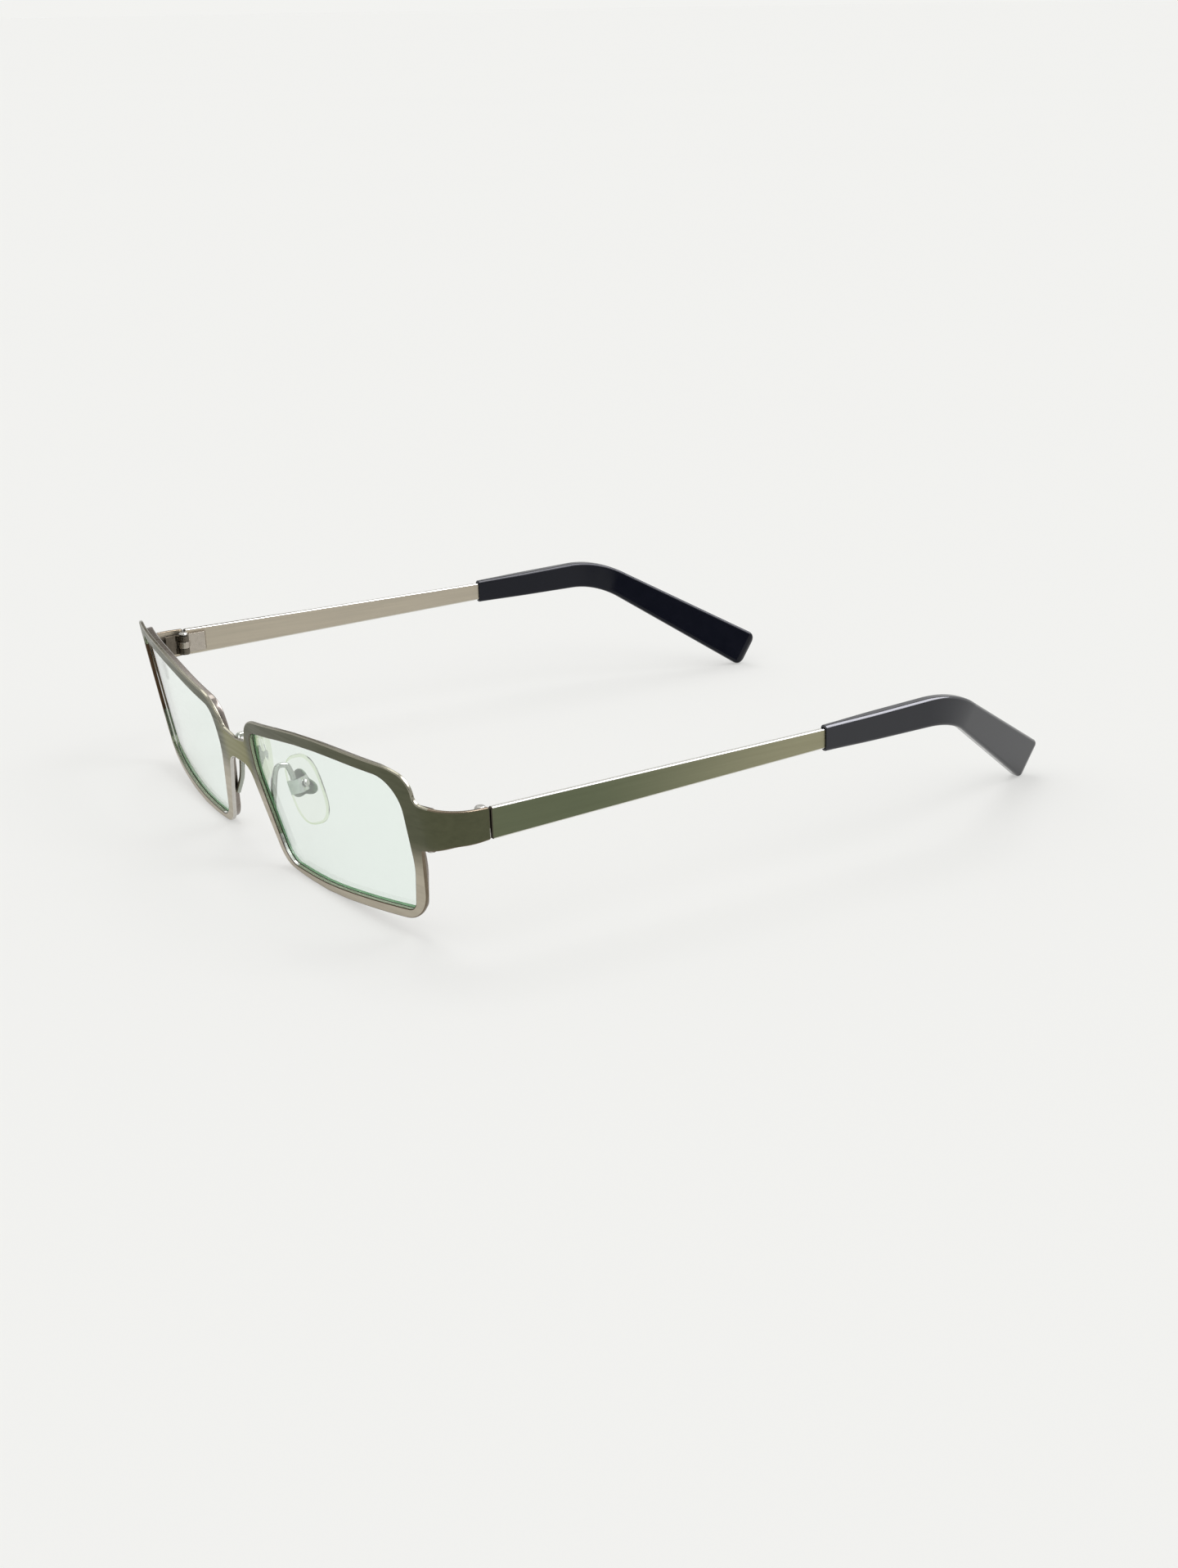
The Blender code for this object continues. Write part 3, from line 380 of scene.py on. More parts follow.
def rounded(corners, step=ARC_STEP, run=RUN_STEP):
    """Points of a closed outline, each corner (a, b, radius) turned into an arc and each run cut up."""
    corner_points = []
    arcs = corner_arcs(corners)
    for i, (here, half, reach) in enumerate(arcs):
        if reach <= 0:
            corner_points.append([here])
            continue
        before = (arcs[i - 1][0] - here).normalized()
        after = (arcs[(i + 1) % len(arcs)][0] - here).normalized()
        centre = here + (before + after).normalized() * reach / cos(half)
        start = here + before * reach - centre
        end = here + after * reach - centre
        turn = pi - 2 * half
        if start.x * end.y - start.y * end.x < 0:
            turn = -turn
        steps = max(2, ceil(abs(turn) / step))
        spokes = [Matrix.Rotation(turn * k / steps, 2) @ start for k in range(steps + 1)]
        corner_points.append([centre + spoke for spoke in spokes])
    points = []
    for i, arc in enumerate(corner_points):
        points += arc
        following = corner_points[(i + 1) % len(corner_points)][0]
        cuts = ceil((following - arc[-1]).length / run)
        points += [arc[-1].lerp(following, k / cuts) for k in range(1, cuts)]
    return points


def outward(points):
    """The outward normal at each point of a closed outline."""
    count = len(points)
    area = sum(points[i - 1].cross(points[i]) for i in range(count))
    sign = 1 if area > 0 else -1
    found = []
    for i in range(count):
        before = (points[i] - points[i - 1]).normalized()
        after = (points[(i + 1) % count] - points[i]).normalized()
        along = before + after
        found.append(Vector((along.y, -along.x)).normalized() * sign)
    return found


def opening_corners():
    """Corners of the left opening, from its temple side at the eyewire's split, down and round."""
    nose = NOSE_HALF
    temple = OPENING_END
    return [
        (temple, SPLIT_HEIGHT, 0),
        (temple, -TEMPLE_KNEE_DEPTH, KNEE_RADIUS),
        (temple - TEMPLE_BOTTOM_SLANT, TEMPLE_BOTTOM_RISE - OPENING_BOTTOM, TEMPLE_BOTTOM_RADIUS),
        (nose + BELLY_FROM_NOSE, -OPENING_BOTTOM, CREST_RADIUS),
        (nose + NOSE_BOTTOM_SLANT, -OPENING_BOTTOM, NOSE_BOTTOM_RADIUS),
        (nose, NOSE_KNEE_HEIGHT, KNEE_RADIUS),
        (nose + NOSE_TOP_SLANT, OPENING_TOP - NOSE_TOP_DROP, NOSE_TOP_RADIUS),
        (nose + CREST_FROM_NOSE, OPENING_TOP, CREST_RADIUS),
        (temple, OPENING_TOP - TEMPLE_TOP_DROP, TEMPLE_TOP_RADIUS),
    ]


OPENING = rounded(opening_corners())


def plate_corners():
    """Corners of the left half of the plate, from the bridge's top to its underside."""
    nose = NOSE_HALF
    edge = RIM_EDGE
    temple_bottom = edge - RIM_TEMPLE - TEMPLE_BOTTOM_SLANT + RIM_TEMPLE_BOTTOM
    nose_bottom = nose + NOSE_BOTTOM_SLANT - RIM_NOSE_BOTTOM
    nose_top = nose + NOSE_TOP_SLANT - RIM_NOSE_TOP
    end = plan_length()
    lean = radians(TEMPLE_PITCH)
    half = TEMPLE_HEIGHT_FRONT / 2
    end_top = (end + half * sin(lean), HINGE_HEIGHT + half * cos(lean))
    end_bottom = (end - half * sin(lean), HINGE_HEIGHT - half * cos(lean))
    arch_height = (ENDPIECE_BOTTOM + end_bottom[1]) / 2 + ENDPIECE_ARCH
    shoulder = OPENING_TOP - TEMPLE_TOP_DROP + RIM_TOP
    return [
        (0, BRIDGE_TOP, NOSE_HALF),
        (nose - RIM_NOSE, BRIDGE_SHOULDER, BRIDGE_TOP_FILLET),
        (nose_top, OPENING_TOP - NOSE_TOP_DROP + RIM_TOP, RIM_NOSE_CORNER_RADIUS),
        (nose + CREST_FROM_NOSE, OPENING_TOP + RIM_TOP, CREST_RADIUS),
        (edge - RIM_SHOULDER_IN, shoulder, RIM_SHOULDER_RADIUS),
        (edge, shoulder - RIM_CORNER_DROP, RIM_TEMPLE_CORNER_RADIUS),
        (edge, ENDPIECE_TOP, ENDPIECE_TOP_FILLET),
        (*end_top, SHARP_CORNER),
        (*end_bottom, SHARP_CORNER),
        ((edge + end) / 2, arch_height, BEND_RADIUS),
        (edge - ENDPIECE_NOTCH, ENDPIECE_BOTTOM, SHARP_CORNER),
        (temple_bottom, TEMPLE_BOTTOM_RISE - OPENING_BOTTOM - RIM_BOTTOM, RIM_TEMPLE_BOTTOM_RADIUS),
        (nose + BELLY_FROM_NOSE, -OPENING_BOTTOM - RIM_BOTTOM, CREST_RADIUS),
        (nose_bottom, NOSE_BOTTOM_RISE - OPENING_BOTTOM - RIM_BOTTOM, RIM_NOSE_BOTTOM_RADIUS),
        (nose - RIM_NOSE - BRIDGE_CORNER_IN, BRIDGE_BOTTOM, BRIDGE_FILLET),
        (0, BRIDGE_BOTTOM, 0),
    ]


# Meshes with a normal given at each corner of each face


def add_object(name, data):
    made = bpy.data.objects.new(name, data)
    bpy.context.scene.collection.objects.link(made)
    return made


class Shape:
    """Points, faces and each face's slot and corner normals, drawn for the left side."""

    def __init__(self):
        self.points = []
        self.faces = []
        self.slots = []
        self.normals = []

    def point(self, place):
        self.points.append(Vector(place))
        return len(self.points) - 1

    def face(self, corners, slot=0):
        """Adds a face of (point index, normal) corners, turned so that it faces along its normals."""
        kept = []
        for corner in corners:
            if corner[0] not in [other[0] for other in kept]:
                kept.append(corner)
        if len(kept) < 3:
            return
        flat = sum((normal for _, normal in kept), Vector())
        ring = [self.points[i] for i, _ in kept]
        own = sum((ring[k - 1].cross(ring[k]) for k in range(len(ring))), Vector())
        if own.dot(flat) < 0:
            kept.reverse()
        self.faces.append([i for i, _ in kept])
        self.normals.append([normal for _, normal in kept])
        self.slots.append(slot)

    def strip(self, here, there, slot=0):
        """Faces between two rows of (point index, normal), in one slot or in a slot for each column."""
        count = len(here)
        slots = slot if isinstance(slot, list) else [slot] * count
        for k in range(count):
            m = (k + 1) % count
            self.face([here[k], here[m], there[m], there[k]], slots[k])

    def recolour(self, old, new, chosen):
        """Moves the faces of some slots to another where a test of the face's middle holds."""
        for k, face in enumerate(self.faces):
            middle = sum((self.points[i] for i in face), Vector()) / len(face)
            if self.slots[k] in old and chosen(middle):
                self.slots[k] = new

    def row(self, ring):
        """Adds a ring of (place, normal) and returns its (point index, normal) corners."""
        return [(self.point(place), Vector(normal).normalized()) for place, normal in ring]

    def cap(self, row, normal):
        self.face([(i, Vector(normal)) for i, _ in row])

    def make(self, name, axes, slots, side=1):
        """The object in the world, mirrored for the right side, with the named look in each slot."""
        mesh = bpy.data.meshes.new(name)
        mirror = Matrix.Diagonal((side, 1, 1, 1))
        place = axes @ mirror
        turn = place.to_3x3()
        faces = [face[::-1] for face in self.faces] if side < 0 else self.faces
        normals = [row[::-1] for row in self.normals] if side < 0 else self.normals
        mesh.from_pydata([place @ point for point in self.points], [], faces)
        for look in slots:
            mesh.materials.append(LOOKS[look])
        mesh.polygons.foreach_set("material_index", self.slots)
        mesh.shade_smooth()
        turned = [(turn @ normal).normalized() for row in normals for normal in row]
        mesh.normals_split_custom_set(turned)
        return add_object(name, mesh)


def edge_rows(thickness, radius, steps=EDGE_STEPS):
    """(inset, depth, angle) down a slab's rounded edge, from its front face to its back face."""
    rows = []
    for start, depth in ((0, radius), (90, thickness - radius)):
        for k in range(steps + 1):
            angle = radians(start + 90 * k / steps)
            rows.append((radius - radius * sin(angle), depth - radius * cos(angle), angle))
    return rows


def inside(point, loop):
    """Whether a point lies inside a closed outline."""
    found = False
    for i, there in enumerate(loop):
        here = loop[i - 1]
        if (here.y > point.y) != (there.y > point.y):
            cross = here.x + (point.y - here.y) * (there.x - here.x) / (there.y - here.y)
            if point.x < cross:
                found = not found
    return found


def on_sheet(point, loops):
    """Whether a point lies inside the first outline and outside the others."""
    return inside(point, loops[0]) and not any(inside(point, hole) for hole in loops[1:])


def fill(loops, spacing):
    """Triangles over the first loop less the others, and the extra points that they use."""
    flat = [point for loop in loops for point in loop]
    edges = []
    start = 0
    for loop in loops:
        edges += [(start + i, start + (i + 1) % len(loop)) for i in range(len(loop))]
        start += len(loop)
    marks = []
    for k, step in enumerate(spacing):
        low, high = (find(point[k] for point in loops[0]) for find in (min, max))
        marks.append([low + step * (i + 0.5) for i in range(int((high - low) / step))])
    clear = FILL_CLEAR * min(spacing)
    extra = []
    for a in marks[0]:
        for b in marks[1]:
            spot = Vector((a, b))
            if on_sheet(spot, loops) and min((spot - point).length for point in flat) > clear:
                extra.append(spot)
    points, _, faces, origin, _, _ = delaunay_2d_cdt(flat + extra, edges, [], 1, 1e-6)
    kept = []
    for face in faces:
        middle = sum((points[i] for i in face), Vector((0, 0))) / len(face)
        if on_sheet(middle, loops):
            kept.append([origin[i][0] for i in face])
    return kept, extra


# Material slots of a slab: its front face, its edges, its back face, the wall of a hole from the
# middle of its front edge's rounding to its back, and the part of the rounding before that
FACE, EDGE, BACK, WALL, LIP = range(5)


def slab(loops, rows, spacing, lay):
    """A sheet with the given edge rows round each loop, laid by a function of point and normal."""
    shape = Shape()
    normals = [outward(loop) for loop in loops[:1]]
    normals += [[-out for out in outward(hole)] for hole in loops[1:]]
    first, last = [], []
    for number, (loop, away) in enumerate(zip(loops, normals)):
        laid = []
        for inset, depth, angle in rows:
            ring = []
            for point, out in zip(loop, away):
                spot = point - out * inset
                tilt = (out.x * sin(angle), -cos(angle), out.y * sin(angle))
                ring.append(lay((spot.x, depth, spot.y), tilt))
            laid.append(shape.row(ring))
        for k, (here, there) in enumerate(zip(laid, laid[1:])):
            hole = WALL if k >= EDGE_STEPS / 2 else LIP
            shape.strip(here, there, hole if number else EDGE)
        first += laid[0]
        last += laid[-1]
    inset = rows[0][0]
    pairs = [zip(loop, away) for loop, away in zip(loops, normals)]
    faces, extra = fill([[point - out * inset for point, out in pair] for pair in pairs], spacing)
    for corners, depth, facing, slot in ((first, rows[0][1], -1, FACE), (last, rows[-1][1], 1, BACK)):
        corners = corners + shape.row([lay((spot.x, depth, spot.y), (0, facing, 0)) for spot in extra])
        for face in faces:
            shape.face([corners[i] for i in face], slot)
    return shape


def sideways(front):
    """Lays a slab on edge, with its front face at x = front and its depth towards -x."""

    def lay(point, normal):
        spot = Vector((front - point[1], point[0], point[2]))
        return spot, Vector((-normal[1], normal[0], normal[2]))

    return lay


# Materials


# Colours on the plated metal, each with a darker one for its grain; their change up the front and along
# the temples, and the tan of the back faces, are painted reflection
OLIVE = ((0.100, 0.103, 0.061), (0.076, 0.080, 0.046))
TAN = ((0.52, 0.465, 0.37), (0.42, 0.38, 0.305))
MOSS = ((0.138, 0.156, 0.094), (0.116, 0.132, 0.078))
BRONZE = ((0.33, 0.315, 0.21), (0.28, 0.265, 0.17))
OCHRE = ((0.225, 0.215, 0.085), (0.18, 0.172, 0.066))

# Where it changes: up the front, along the temples and out from the middle of the bridge, in metres
FRONT_SPAN = (0.0105, 0.0185)
TEMPLE_SPAN = (-0.042, 0.012)
BRIDGE_SPAN = (0.0035, NOSE_HALF * MM)
GRAIN_DEPTH = 0.00001

# The part of the noise's range that is used, how little clear and pale things vary, and two blacks
NOISE_SPAN = (0.3, 0.7)
FAINT = 0.985
BLACKS = ((0.005, 0.006, 0.011), (0.007, 0.008, 0.015))


def set_up(thing, **settings):
    for key, value in settings.items():
        setattr(thing, key, value)
    return thing


def put(made, values):
    """Sets inputs of a node by key, each to a value or linked to another node's output."""
    for key, value in values.items():
        if isinstance(value, bpy.types.NodeSocket):
            made.id_data.links.new(value, made.inputs[key])
        else:
            made.inputs[key].default_value = value


def add(tree, kind, output, inputs=None, **settings):
    """Adds a node and returns one of its outputs."""
    made = set_up(tree.nodes.new("ShaderNode" + kind), **settings)
    put(made, inputs or {})
    return made.outputs[output]


def start_material(name):
    made = bpy.data.materials.new(name)
    made.use_nodes = True
    return made, made.node_tree, made.node_tree.nodes["Principled BSDF"]


def place_on(tree, axis):
    """The place along one of the piece's own axes, in metres."""
    return add(tree, "SeparateXYZ", axis, {"Vector": add(tree, "TexCoord", "Object")})


def streaks(tree, stretch, detail=4.0):
    """Noise in the piece's own place, drawn out by the stretch in each direction."""
    place = {"Vector": add(tree, "TexCoord", "Object"), "Scale": stretch}
    grain = {"Vector": add(tree, "Mapping", "Vector", place), "Scale": 1.0, "Detail": detail}
    return add(tree, "TexNoise", "Fac", grain)


def share_between(tree, value, start, end):
    """A smooth share from 0 to 1 as a value goes from start to end."""
    limits = {"Value": value, "From Min": start, "From Max": end}
    return add(tree, "MapRange", "Result", limits, interpolation_type="SMOOTHSTEP")


def spread(tree, noise, low, high):
    """The noise spread between two values."""
    least, most = NOISE_SPAN
    limits = {"Value": noise, "From Min": least, "From Max": most, "To Min": low, "To Max": high}
    return add(tree, "MapRange", "Result", limits)


def blend_colours(tree, share, *colours):
    """A colour between two, each a colour or a node's output."""
    first, second = ((*value, 1) if isinstance(value, tuple) else value for value in colours)
    return add(tree, "Mix", 2, {"Factor": share, 6: first, 7: second}, data_type="RGBA")


def mix_shaders(tree, share, first, second):
    """Puts a mix of two shaders on the surface."""
    mixed = add(tree, "MixShader", "Shader", {"Fac": share, 1: first, 2: second})
    put(tree.nodes["Material Output"], {"Surface": mixed})


def fainter(colour):
    return tuple(FAINT * part for part in colour)


def mottle(tree, shader, scale, colours, roughness, detail=3.0):
    """A colour and a roughness that each vary a little between two values."""
    smear = streaks(tree, (scale,) * 3, detail)
    colour = blend_colours(tree, smear, *colours)
    put(shader, {"Base Color": colour, "Roughness": spread(tree, smear, *roughness)})


def gunmetal(name, stretch, axis, span, first, second, middle=None):
    """Brushed plated metal whose colour goes from the first to the second pair along one axis, a
    painted reflection.

    A third pair, where given, shows near the middle.
    """
    made, tree, shader = start_material(name)
    grain = streaks(tree, stretch)
    low = blend_colours(tree, grain, *first)
    high = blend_colours(tree, grain, *second)
    colour = blend_colours(tree, share_between(tree, place_on(tree, axis), *span), low, high)
    if middle:
        out = add(tree, "Math", "Value", {0: place_on(tree, "X")}, operation="ABSOLUTE")
        beside = share_between(tree, out, *BRIDGE_SPAN)
        colour = blend_colours(tree, beside, blend_colours(tree, grain, *middle), colour)
    relief = {"Height": grain, "Strength": 0.3, "Distance": GRAIN_DEPTH}
    put(shader, {"Normal": add(tree, "Bump", "Normal", relief), "Base Color": colour})
    put(shader, {"Roughness": spread(tree, grain, 0.30, 0.44), "Metallic": 1.0})
    return made


def polished(name, colour, dull, low, high):
    """Bright metal with faint smears of roughness."""
    made, tree, shader = start_material(name)
    mottle(tree, shader, 900, (colour, dull), (low, high))
    put(shader, {"Metallic": 1.0})
    return made


def clear_material(name, colour, tint, index, rough):
    """Clear glass or silicone with faint smears. Lamps shine through it, so its shadow is pale."""
    made, tree, shader = start_material(name)
    mottle(tree, shader, 300, (colour, fainter(colour)), (0.0, rough))
    put(shader, {"Transmission Weight": 1.0, "IOR": index})
    clear = add(tree, "BsdfTransparent", "BSDF", {"Color": (*tint, 1)})
    shadow = add(tree, "LightPath", "Is Shadow Ray")
    mix_shaders(tree, shadow, shader.outputs["BSDF"], clear)
    return made


def ground_edge(name, first, second):
    """The lens's ground edge, a frosted band of the tint seen through its own thickness. Its lighter
    point is painted light and its brown grey temple side is painted reflection.
    """
    made, tree, shader = start_material(name)
    grain = streaks(tree, (1200,) * 3, 3.0)
    put(shader, {"Base Color": blend_colours(tree, grain, first, second), "Roughness": 0.45})
    return made


def black_plastic(name, gloss):
    made, tree, shader = start_material(name)
    mottle(tree, shader, 350, BLACKS, (0.10, 0.17), 4.0)
    put(shader, {"Specular IOR Level": gloss})
    return made


# Every material: its maker and what that takes
MATERIALS = {
    # Stretch of the grain, axis, span and colours at its start, its end and the middle of the bridge
    "front_face": (gunmetal, (40, 900, 1400), "Z", FRONT_SPAN, TAN, OLIVE, OCHRE),
    "front_back": (gunmetal, (60, 900, 900), "Z", FRONT_SPAN, TAN, TAN),
    "temple_face": (gunmetal, (900, 40, 1400), "Y", TEMPLE_SPAN, MOSS, BRONZE),
    "temple_back": (gunmetal, (900, 40, 1400), "Y", TEMPLE_SPAN, TAN, TAN),
    # Bright and dull colour, least and most roughness
    "edge": (polished, (0.62, 0.60, 0.56), (0.52, 0.50, 0.47), 0.12, 0.24),
    "temple_edge": (polished, (0.74, 0.73, 0.68), (0.64, 0.63, 0.58), 0.12, 0.24),
    "opening_wall": (polished, (0.34, 0.36, 0.27), (0.24, 0.30, 0.20), 0.12, 0.24),
    # Painted glint: near white on the walls at the low inner corners of the openings
    "corner_wall": (polished, (0.86, 0.86, 0.84), (0.74, 0.73, 0.70), 0.08, 0.16),
    # Painted shade: near black on the end faces in the hinge gap
    "seam": (polished, (0.07, 0.06, 0.045), (0.05, 0.045, 0.035), 0.3, 0.45),
    "eyewire": (polished, (0.30, 0.27, 0.245), (0.22, 0.19, 0.165), 0.16, 0.30),
    "hinge_plate": (polished, (0.48, 0.44, 0.38), (0.40, 0.36, 0.31), 0.22, 0.36),
    "hinge_seat": (polished, (0.16, 0.14, 0.115), (0.10, 0.085, 0.065), 0.2, 0.36),
    "box": (polished, (0.66, 0.68, 0.64), (0.34, 0.37, 0.34), 0.05, 0.14),
    # Painted dark reflection on the top edges, the low outer edges and the lips of the openings
    "rim_top": (polished, (0.31, 0.30, 0.24), (0.25, 0.235, 0.18), 0.16, 0.30),
    "rim_low": (polished, (0.22, 0.18, 0.13), (0.15, 0.12, 0.085), 0.2, 0.34),
    "opening_lip": (polished, (0.075, 0.045, 0.025), (0.055, 0.035, 0.02), 0.25, 0.4),
    "steel": (polished, (0.42, 0.44, 0.395), (0.33, 0.35, 0.31), 0.10, 0.22),
    "screw": (polished, (0.50, 0.49, 0.46), (0.42, 0.41, 0.38), 0.20, 0.34),
    "insert": (polished, (0.20, 0.25, 0.19), (0.115, 0.155, 0.11), 0.16, 0.3),
    # Colour, tint of the light that lamps send through, index of refraction and most roughness
    "lens": (clear_material, (0.915, 0.99, 0.95), (0.955, 0.985, 0.97), 1.5, 0.02),
    # Painted reflection of the lens's green edge along the front at the nose's side, a pale and a deep
    # step
    "band_pale": (clear_material, (0.66, 0.76, 0.64), (0.85, 0.91, 0.85), 1.5, 0.02),
    "band_deep": (clear_material, (0.54, 0.68, 0.54), (0.76, 0.85, 0.77), 1.5, 0.02),
    "pad": (clear_material, (0.985, 0.985, 0.96), (0.99, 0.99, 0.98), 1.02, 0.03),
    "pad_rim": (clear_material, (0.70, 0.77, 0.56), (0.95, 0.965, 0.92), 1.02, 0.03),
    # The two colours of the lens's ground edge, of its point, lighter as painted light, and of its
    # temple side, brown grey as painted reflection
    "lens_edge": (ground_edge, (0.055, 0.22, 0.075), (0.15, 0.34, 0.15)),
    "lens_point": (ground_edge, (0.20, 0.44, 0.21), (0.30, 0.54, 0.30)),
    "lens_side": (ground_edge, (0.22, 0.20, 0.13), (0.34, 0.36, 0.28)),
    # Gloss
    "black_plastic": (black_plastic, 0.5),
    "black_inner": (black_plastic, 0.2),
    "black_bevel": (black_plastic, 1.0),
}
LOOKS = {name: make(name, *values) for name, (make, *values) in MATERIALS.items()}


def finish(made, body, slot, *nodes):
    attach(made, body)
    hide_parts(*nodes)


# Front, eyewires and lenses: the eyewires and the lenses start at one depth


SEAT_FRONT = PLATE_THICKNESS + SOLDER_GAP
EYEWIRE_BACK = SEAT_FRONT + EYEWIRE_DEPTH


def make_front():
    """The plate, with painted shade in the hinge gap, painted dark reflection on parts of its edges and
    lips, and a painted glint at its low inner corners.
    """
    half = plate_corners()
    mirrored = [(-s, z, radius) for s, z, radius in reversed(half[1:-1])]
    outline = rounded(half + mirrored)
    other = [Vector((-point.x, point.y)) for point in reversed(OPENING)]
    shape = slab([outline, OPENING, other], edge_rows(PLATE_THICKNESS, PLATE_EDGE), PLATE_FILL, bent)
    seam, rim_top, rim_low, corner_wall = range(LIP + 1, LIP + 5)
    end = plan_point(plan_length())[1] - GAP_SHADE_DEPTH
    temple_side = on_front(OPENING_END - WALL_SIDE_IN, 0, 0).x
    past_fillet = on_front(BEND_START + FILLET_RUN, 0, 0).y
    # Painted shade on the plate's end face in the hinge gap
    shape.recolour((EDGE,), seam, lambda at: at.y > end)
    # Painted dark reflection on the walls at the temple side
    shape.recolour((WALL,), LIP, lambda at: abs(at.x) > temple_side)
    # Painted glint on the walls at the low inner corners of the openings
    low_inside = lambda at: at.z < CORNER_GLINT_TOP and abs(at.x) < CORNER_GLINT_OUT
    shape.recolour((WALL,), corner_wall, low_inside)
    # Painted dark reflection on the top edges, on the low outer edges and on the endpiece's top past
    # its fillet
    shape.recolour((EDGE,), rim_top, lambda at: at.z > BRIDGE_BOTTOM + RIM_TOP_RISE)
    shape.recolour((EDGE,), rim_low, lambda at: at.z < RIM_LOW_TOP and abs(at.x) > RIM_LOW_OUT)
    shape.recolour((rim_top,), rim_low, lambda at: at.z > HINGE_HEIGHT and at.y > past_fillet)
    slots = ["front_face", "edge", "front_back", "opening_wall", "opening_lip"]
    slots += ["seam", "rim_top", "rim_low", "corner_wall"]
    made = shape.make("stamped_front", FRONT, slots)
    finish(made, "root", "gunmetal", "front_plate")


def make_eyewire(side, name):
    """A polished ring behind the rim with rounded back corners, its groove towards the lens."""
    front, back = SEAT_FRONT, EYEWIRE_BACK
    middle = (front + back) / 2
    corners = [
        (EYEWIRE_LIP, front, EYEWIRE_CORNER),
        (EYEWIRE_WALL, front, EYEWIRE_CORNER),
        (EYEWIRE_WALL, back, EYEWIRE_EDGE),
        (EYEWIRE_LIP, back, EYEWIRE_EDGE),
        (EYEWIRE_LIP, middle + GROOVE_WIDTH / 2, 0),
        (EYEWIRE_LIP + GROOVE_DEPTH, middle, EYEWIRE_CORNER),
        (EYEWIRE_LIP, middle - GROOVE_WIDTH / 2, 0),
    ]
    section = rounded(corners, SECTION_STEP, SECTION_RUN)
    away = outward(OPENING)
    # The outline starts and ends at the split, whose ends stand half the gap below and above
    stops = [(0, -SPLIT_GAP / 2), *((i, 0) for i in range(1, len(OPENING))), (0, SPLIT_GAP / 2)]
    shape = Shape()
    rows = []
    for i, gap in stops:
        spot = OPENING[i] + Vector((0, gap))
        ring = []
        for place, out in zip(section, outward(section)):
            flat = spot + away[i] * place.x
            normal = (away[i].x * out.x, out.y, away[i].y * out.x)
            ring.append(bent((flat.x, place.y, flat.y), normal))
        rows.append(shape.row(ring))
    for here, there in zip(rows, rows[1:]):
        shape.strip(here, there)
    shape.cap(rows[0], (0, 0, 1))
    shape.cap(rows[-1], (0, 0, -1))
    made = shape.make(name + "_eyewire_ring", FRONT, ["eyewire"], side)
    finish(made, "root", "bright_steel", name + "_eyewire")


def make_lens(side, name):
    """A tinted lens with a ground, pointed edge, drawn into its seat so that no dark gap shows.

    A painted reflection of its green edge, in a pale and a deep step, lies along the front of the edge
    at the nose's side.
    """
    front = SEAT_FRONT
    inset = LENS_SEAT_GAP - EYEWIRE_LIP
    middle = EYEWIRE_DEPTH / 2
    loop = [point - out * inset for point, out in zip(OPENING, outward(OPENING))]
    quarter = pi / 2
    rows = [
        (LENS_BAND, front, 0),
        (LENS_BAND * BAND_SPLIT, front, 0),
        (LENS_EDGE, front, 0),
        (0, front + LENS_EDGE, quarter),
        (0, front + middle - LENS_BEVEL_WIDTH / 2, quarter),
        (-LENS_BEVEL, front + middle, quarter),
        (0, front + middle + LENS_BEVEL_WIDTH / 2, quarter),
        (0, front + LENS_THICKNESS - LENS_EDGE, quarter),
        (LENS_EDGE, front + LENS_THICKNESS, 2 * quarter),
        (LENS_BAND, front + LENS_THICKNESS, 2 * quarter),
    ]
    shape = slab([loop], rows, LENS_FILL, bent)
    temple_edge, pale, deep, point = range(BACK + 1, BACK + 5)
    count = len(loop)
    # The strips round the edge's point get a lighter green, painted light where the groove shades it
    for row, slot in ((0, pale), (1, deep), (4, point), (5, point), (len(rows) - 2, BACK)):
        shape.slots[row * count : (row + 1) * count] = [slot] * count
    temple_side = on_front(OPENING_END - LENS_SIDE_IN, 0, 0).x
    nose_side = NOSE_HALF + NOSE_BOTTOM_SLANT + LENS_BAND
    nose_top = OPENING_TOP - NOSE_TOP_DROP
    # The painted reflection stays only at the nose's side, below its top corner
    shape.recolour((pale, deep), FACE, lambda at: at.x > nose_side or at.z > nose_top)
    # The ground edge and its point are brown grey on the temple side, a painted reflection
    shape.recolour((EDGE, point), temple_edge, lambda at: at.x > temple_side)
    slots = ["lens", "lens_edge", "lens", "lens_side", "band_pale", "band_deep", "lens_point"]
    made = shape.make(name + "_lens_glass", FRONT, slots, side)
    finish(made, "root", "mint_lens", name + "_lens")
    made.visible_diffuse = False


# Nose pads: x away from the nose, y towards the back, z up the pad, origin on the screw


def pad_outline():
    points = []
    for k in range(PAD_POINTS):
        angle = 2 * pi * k / PAD_POINTS
        c, s = cos(angle), sin(angle)
        across = copysign(abs(c) ** (2 / PAD_SQUARENESS), c) * PAD_WIDTH / 2
        up = copysign(abs(s) ** (2 / PAD_SQUARENESS), s) * PAD_LENGTH / 2
        points.append(Vector((across, up)))
    return points


def lug_outline():
    a, b = LUG_WIDTH / 2, LUG_HEIGHT / 2
    corners = [(x, z, LUG_CORNER) for x, z in ((-a, -b), (a, -b), (a, b), (-a, b))]
    return rounded(corners, LUG_STEP, LUG_RUN)


def insert_outline():
    """Three lobes, one of them at the top."""
    points = []
    for k in range(INSERT_POINTS):
        angle = radians(360 * k / INSERT_POINTS)
        reach = INSERT_REACH + INSERT_LOBE * cos(3 * angle - 1.5 * pi)
        points.append(Vector((reach * cos(angle) - INSERT_AHEAD, reach * sin(angle) - INSERT_DROP)))
    return points


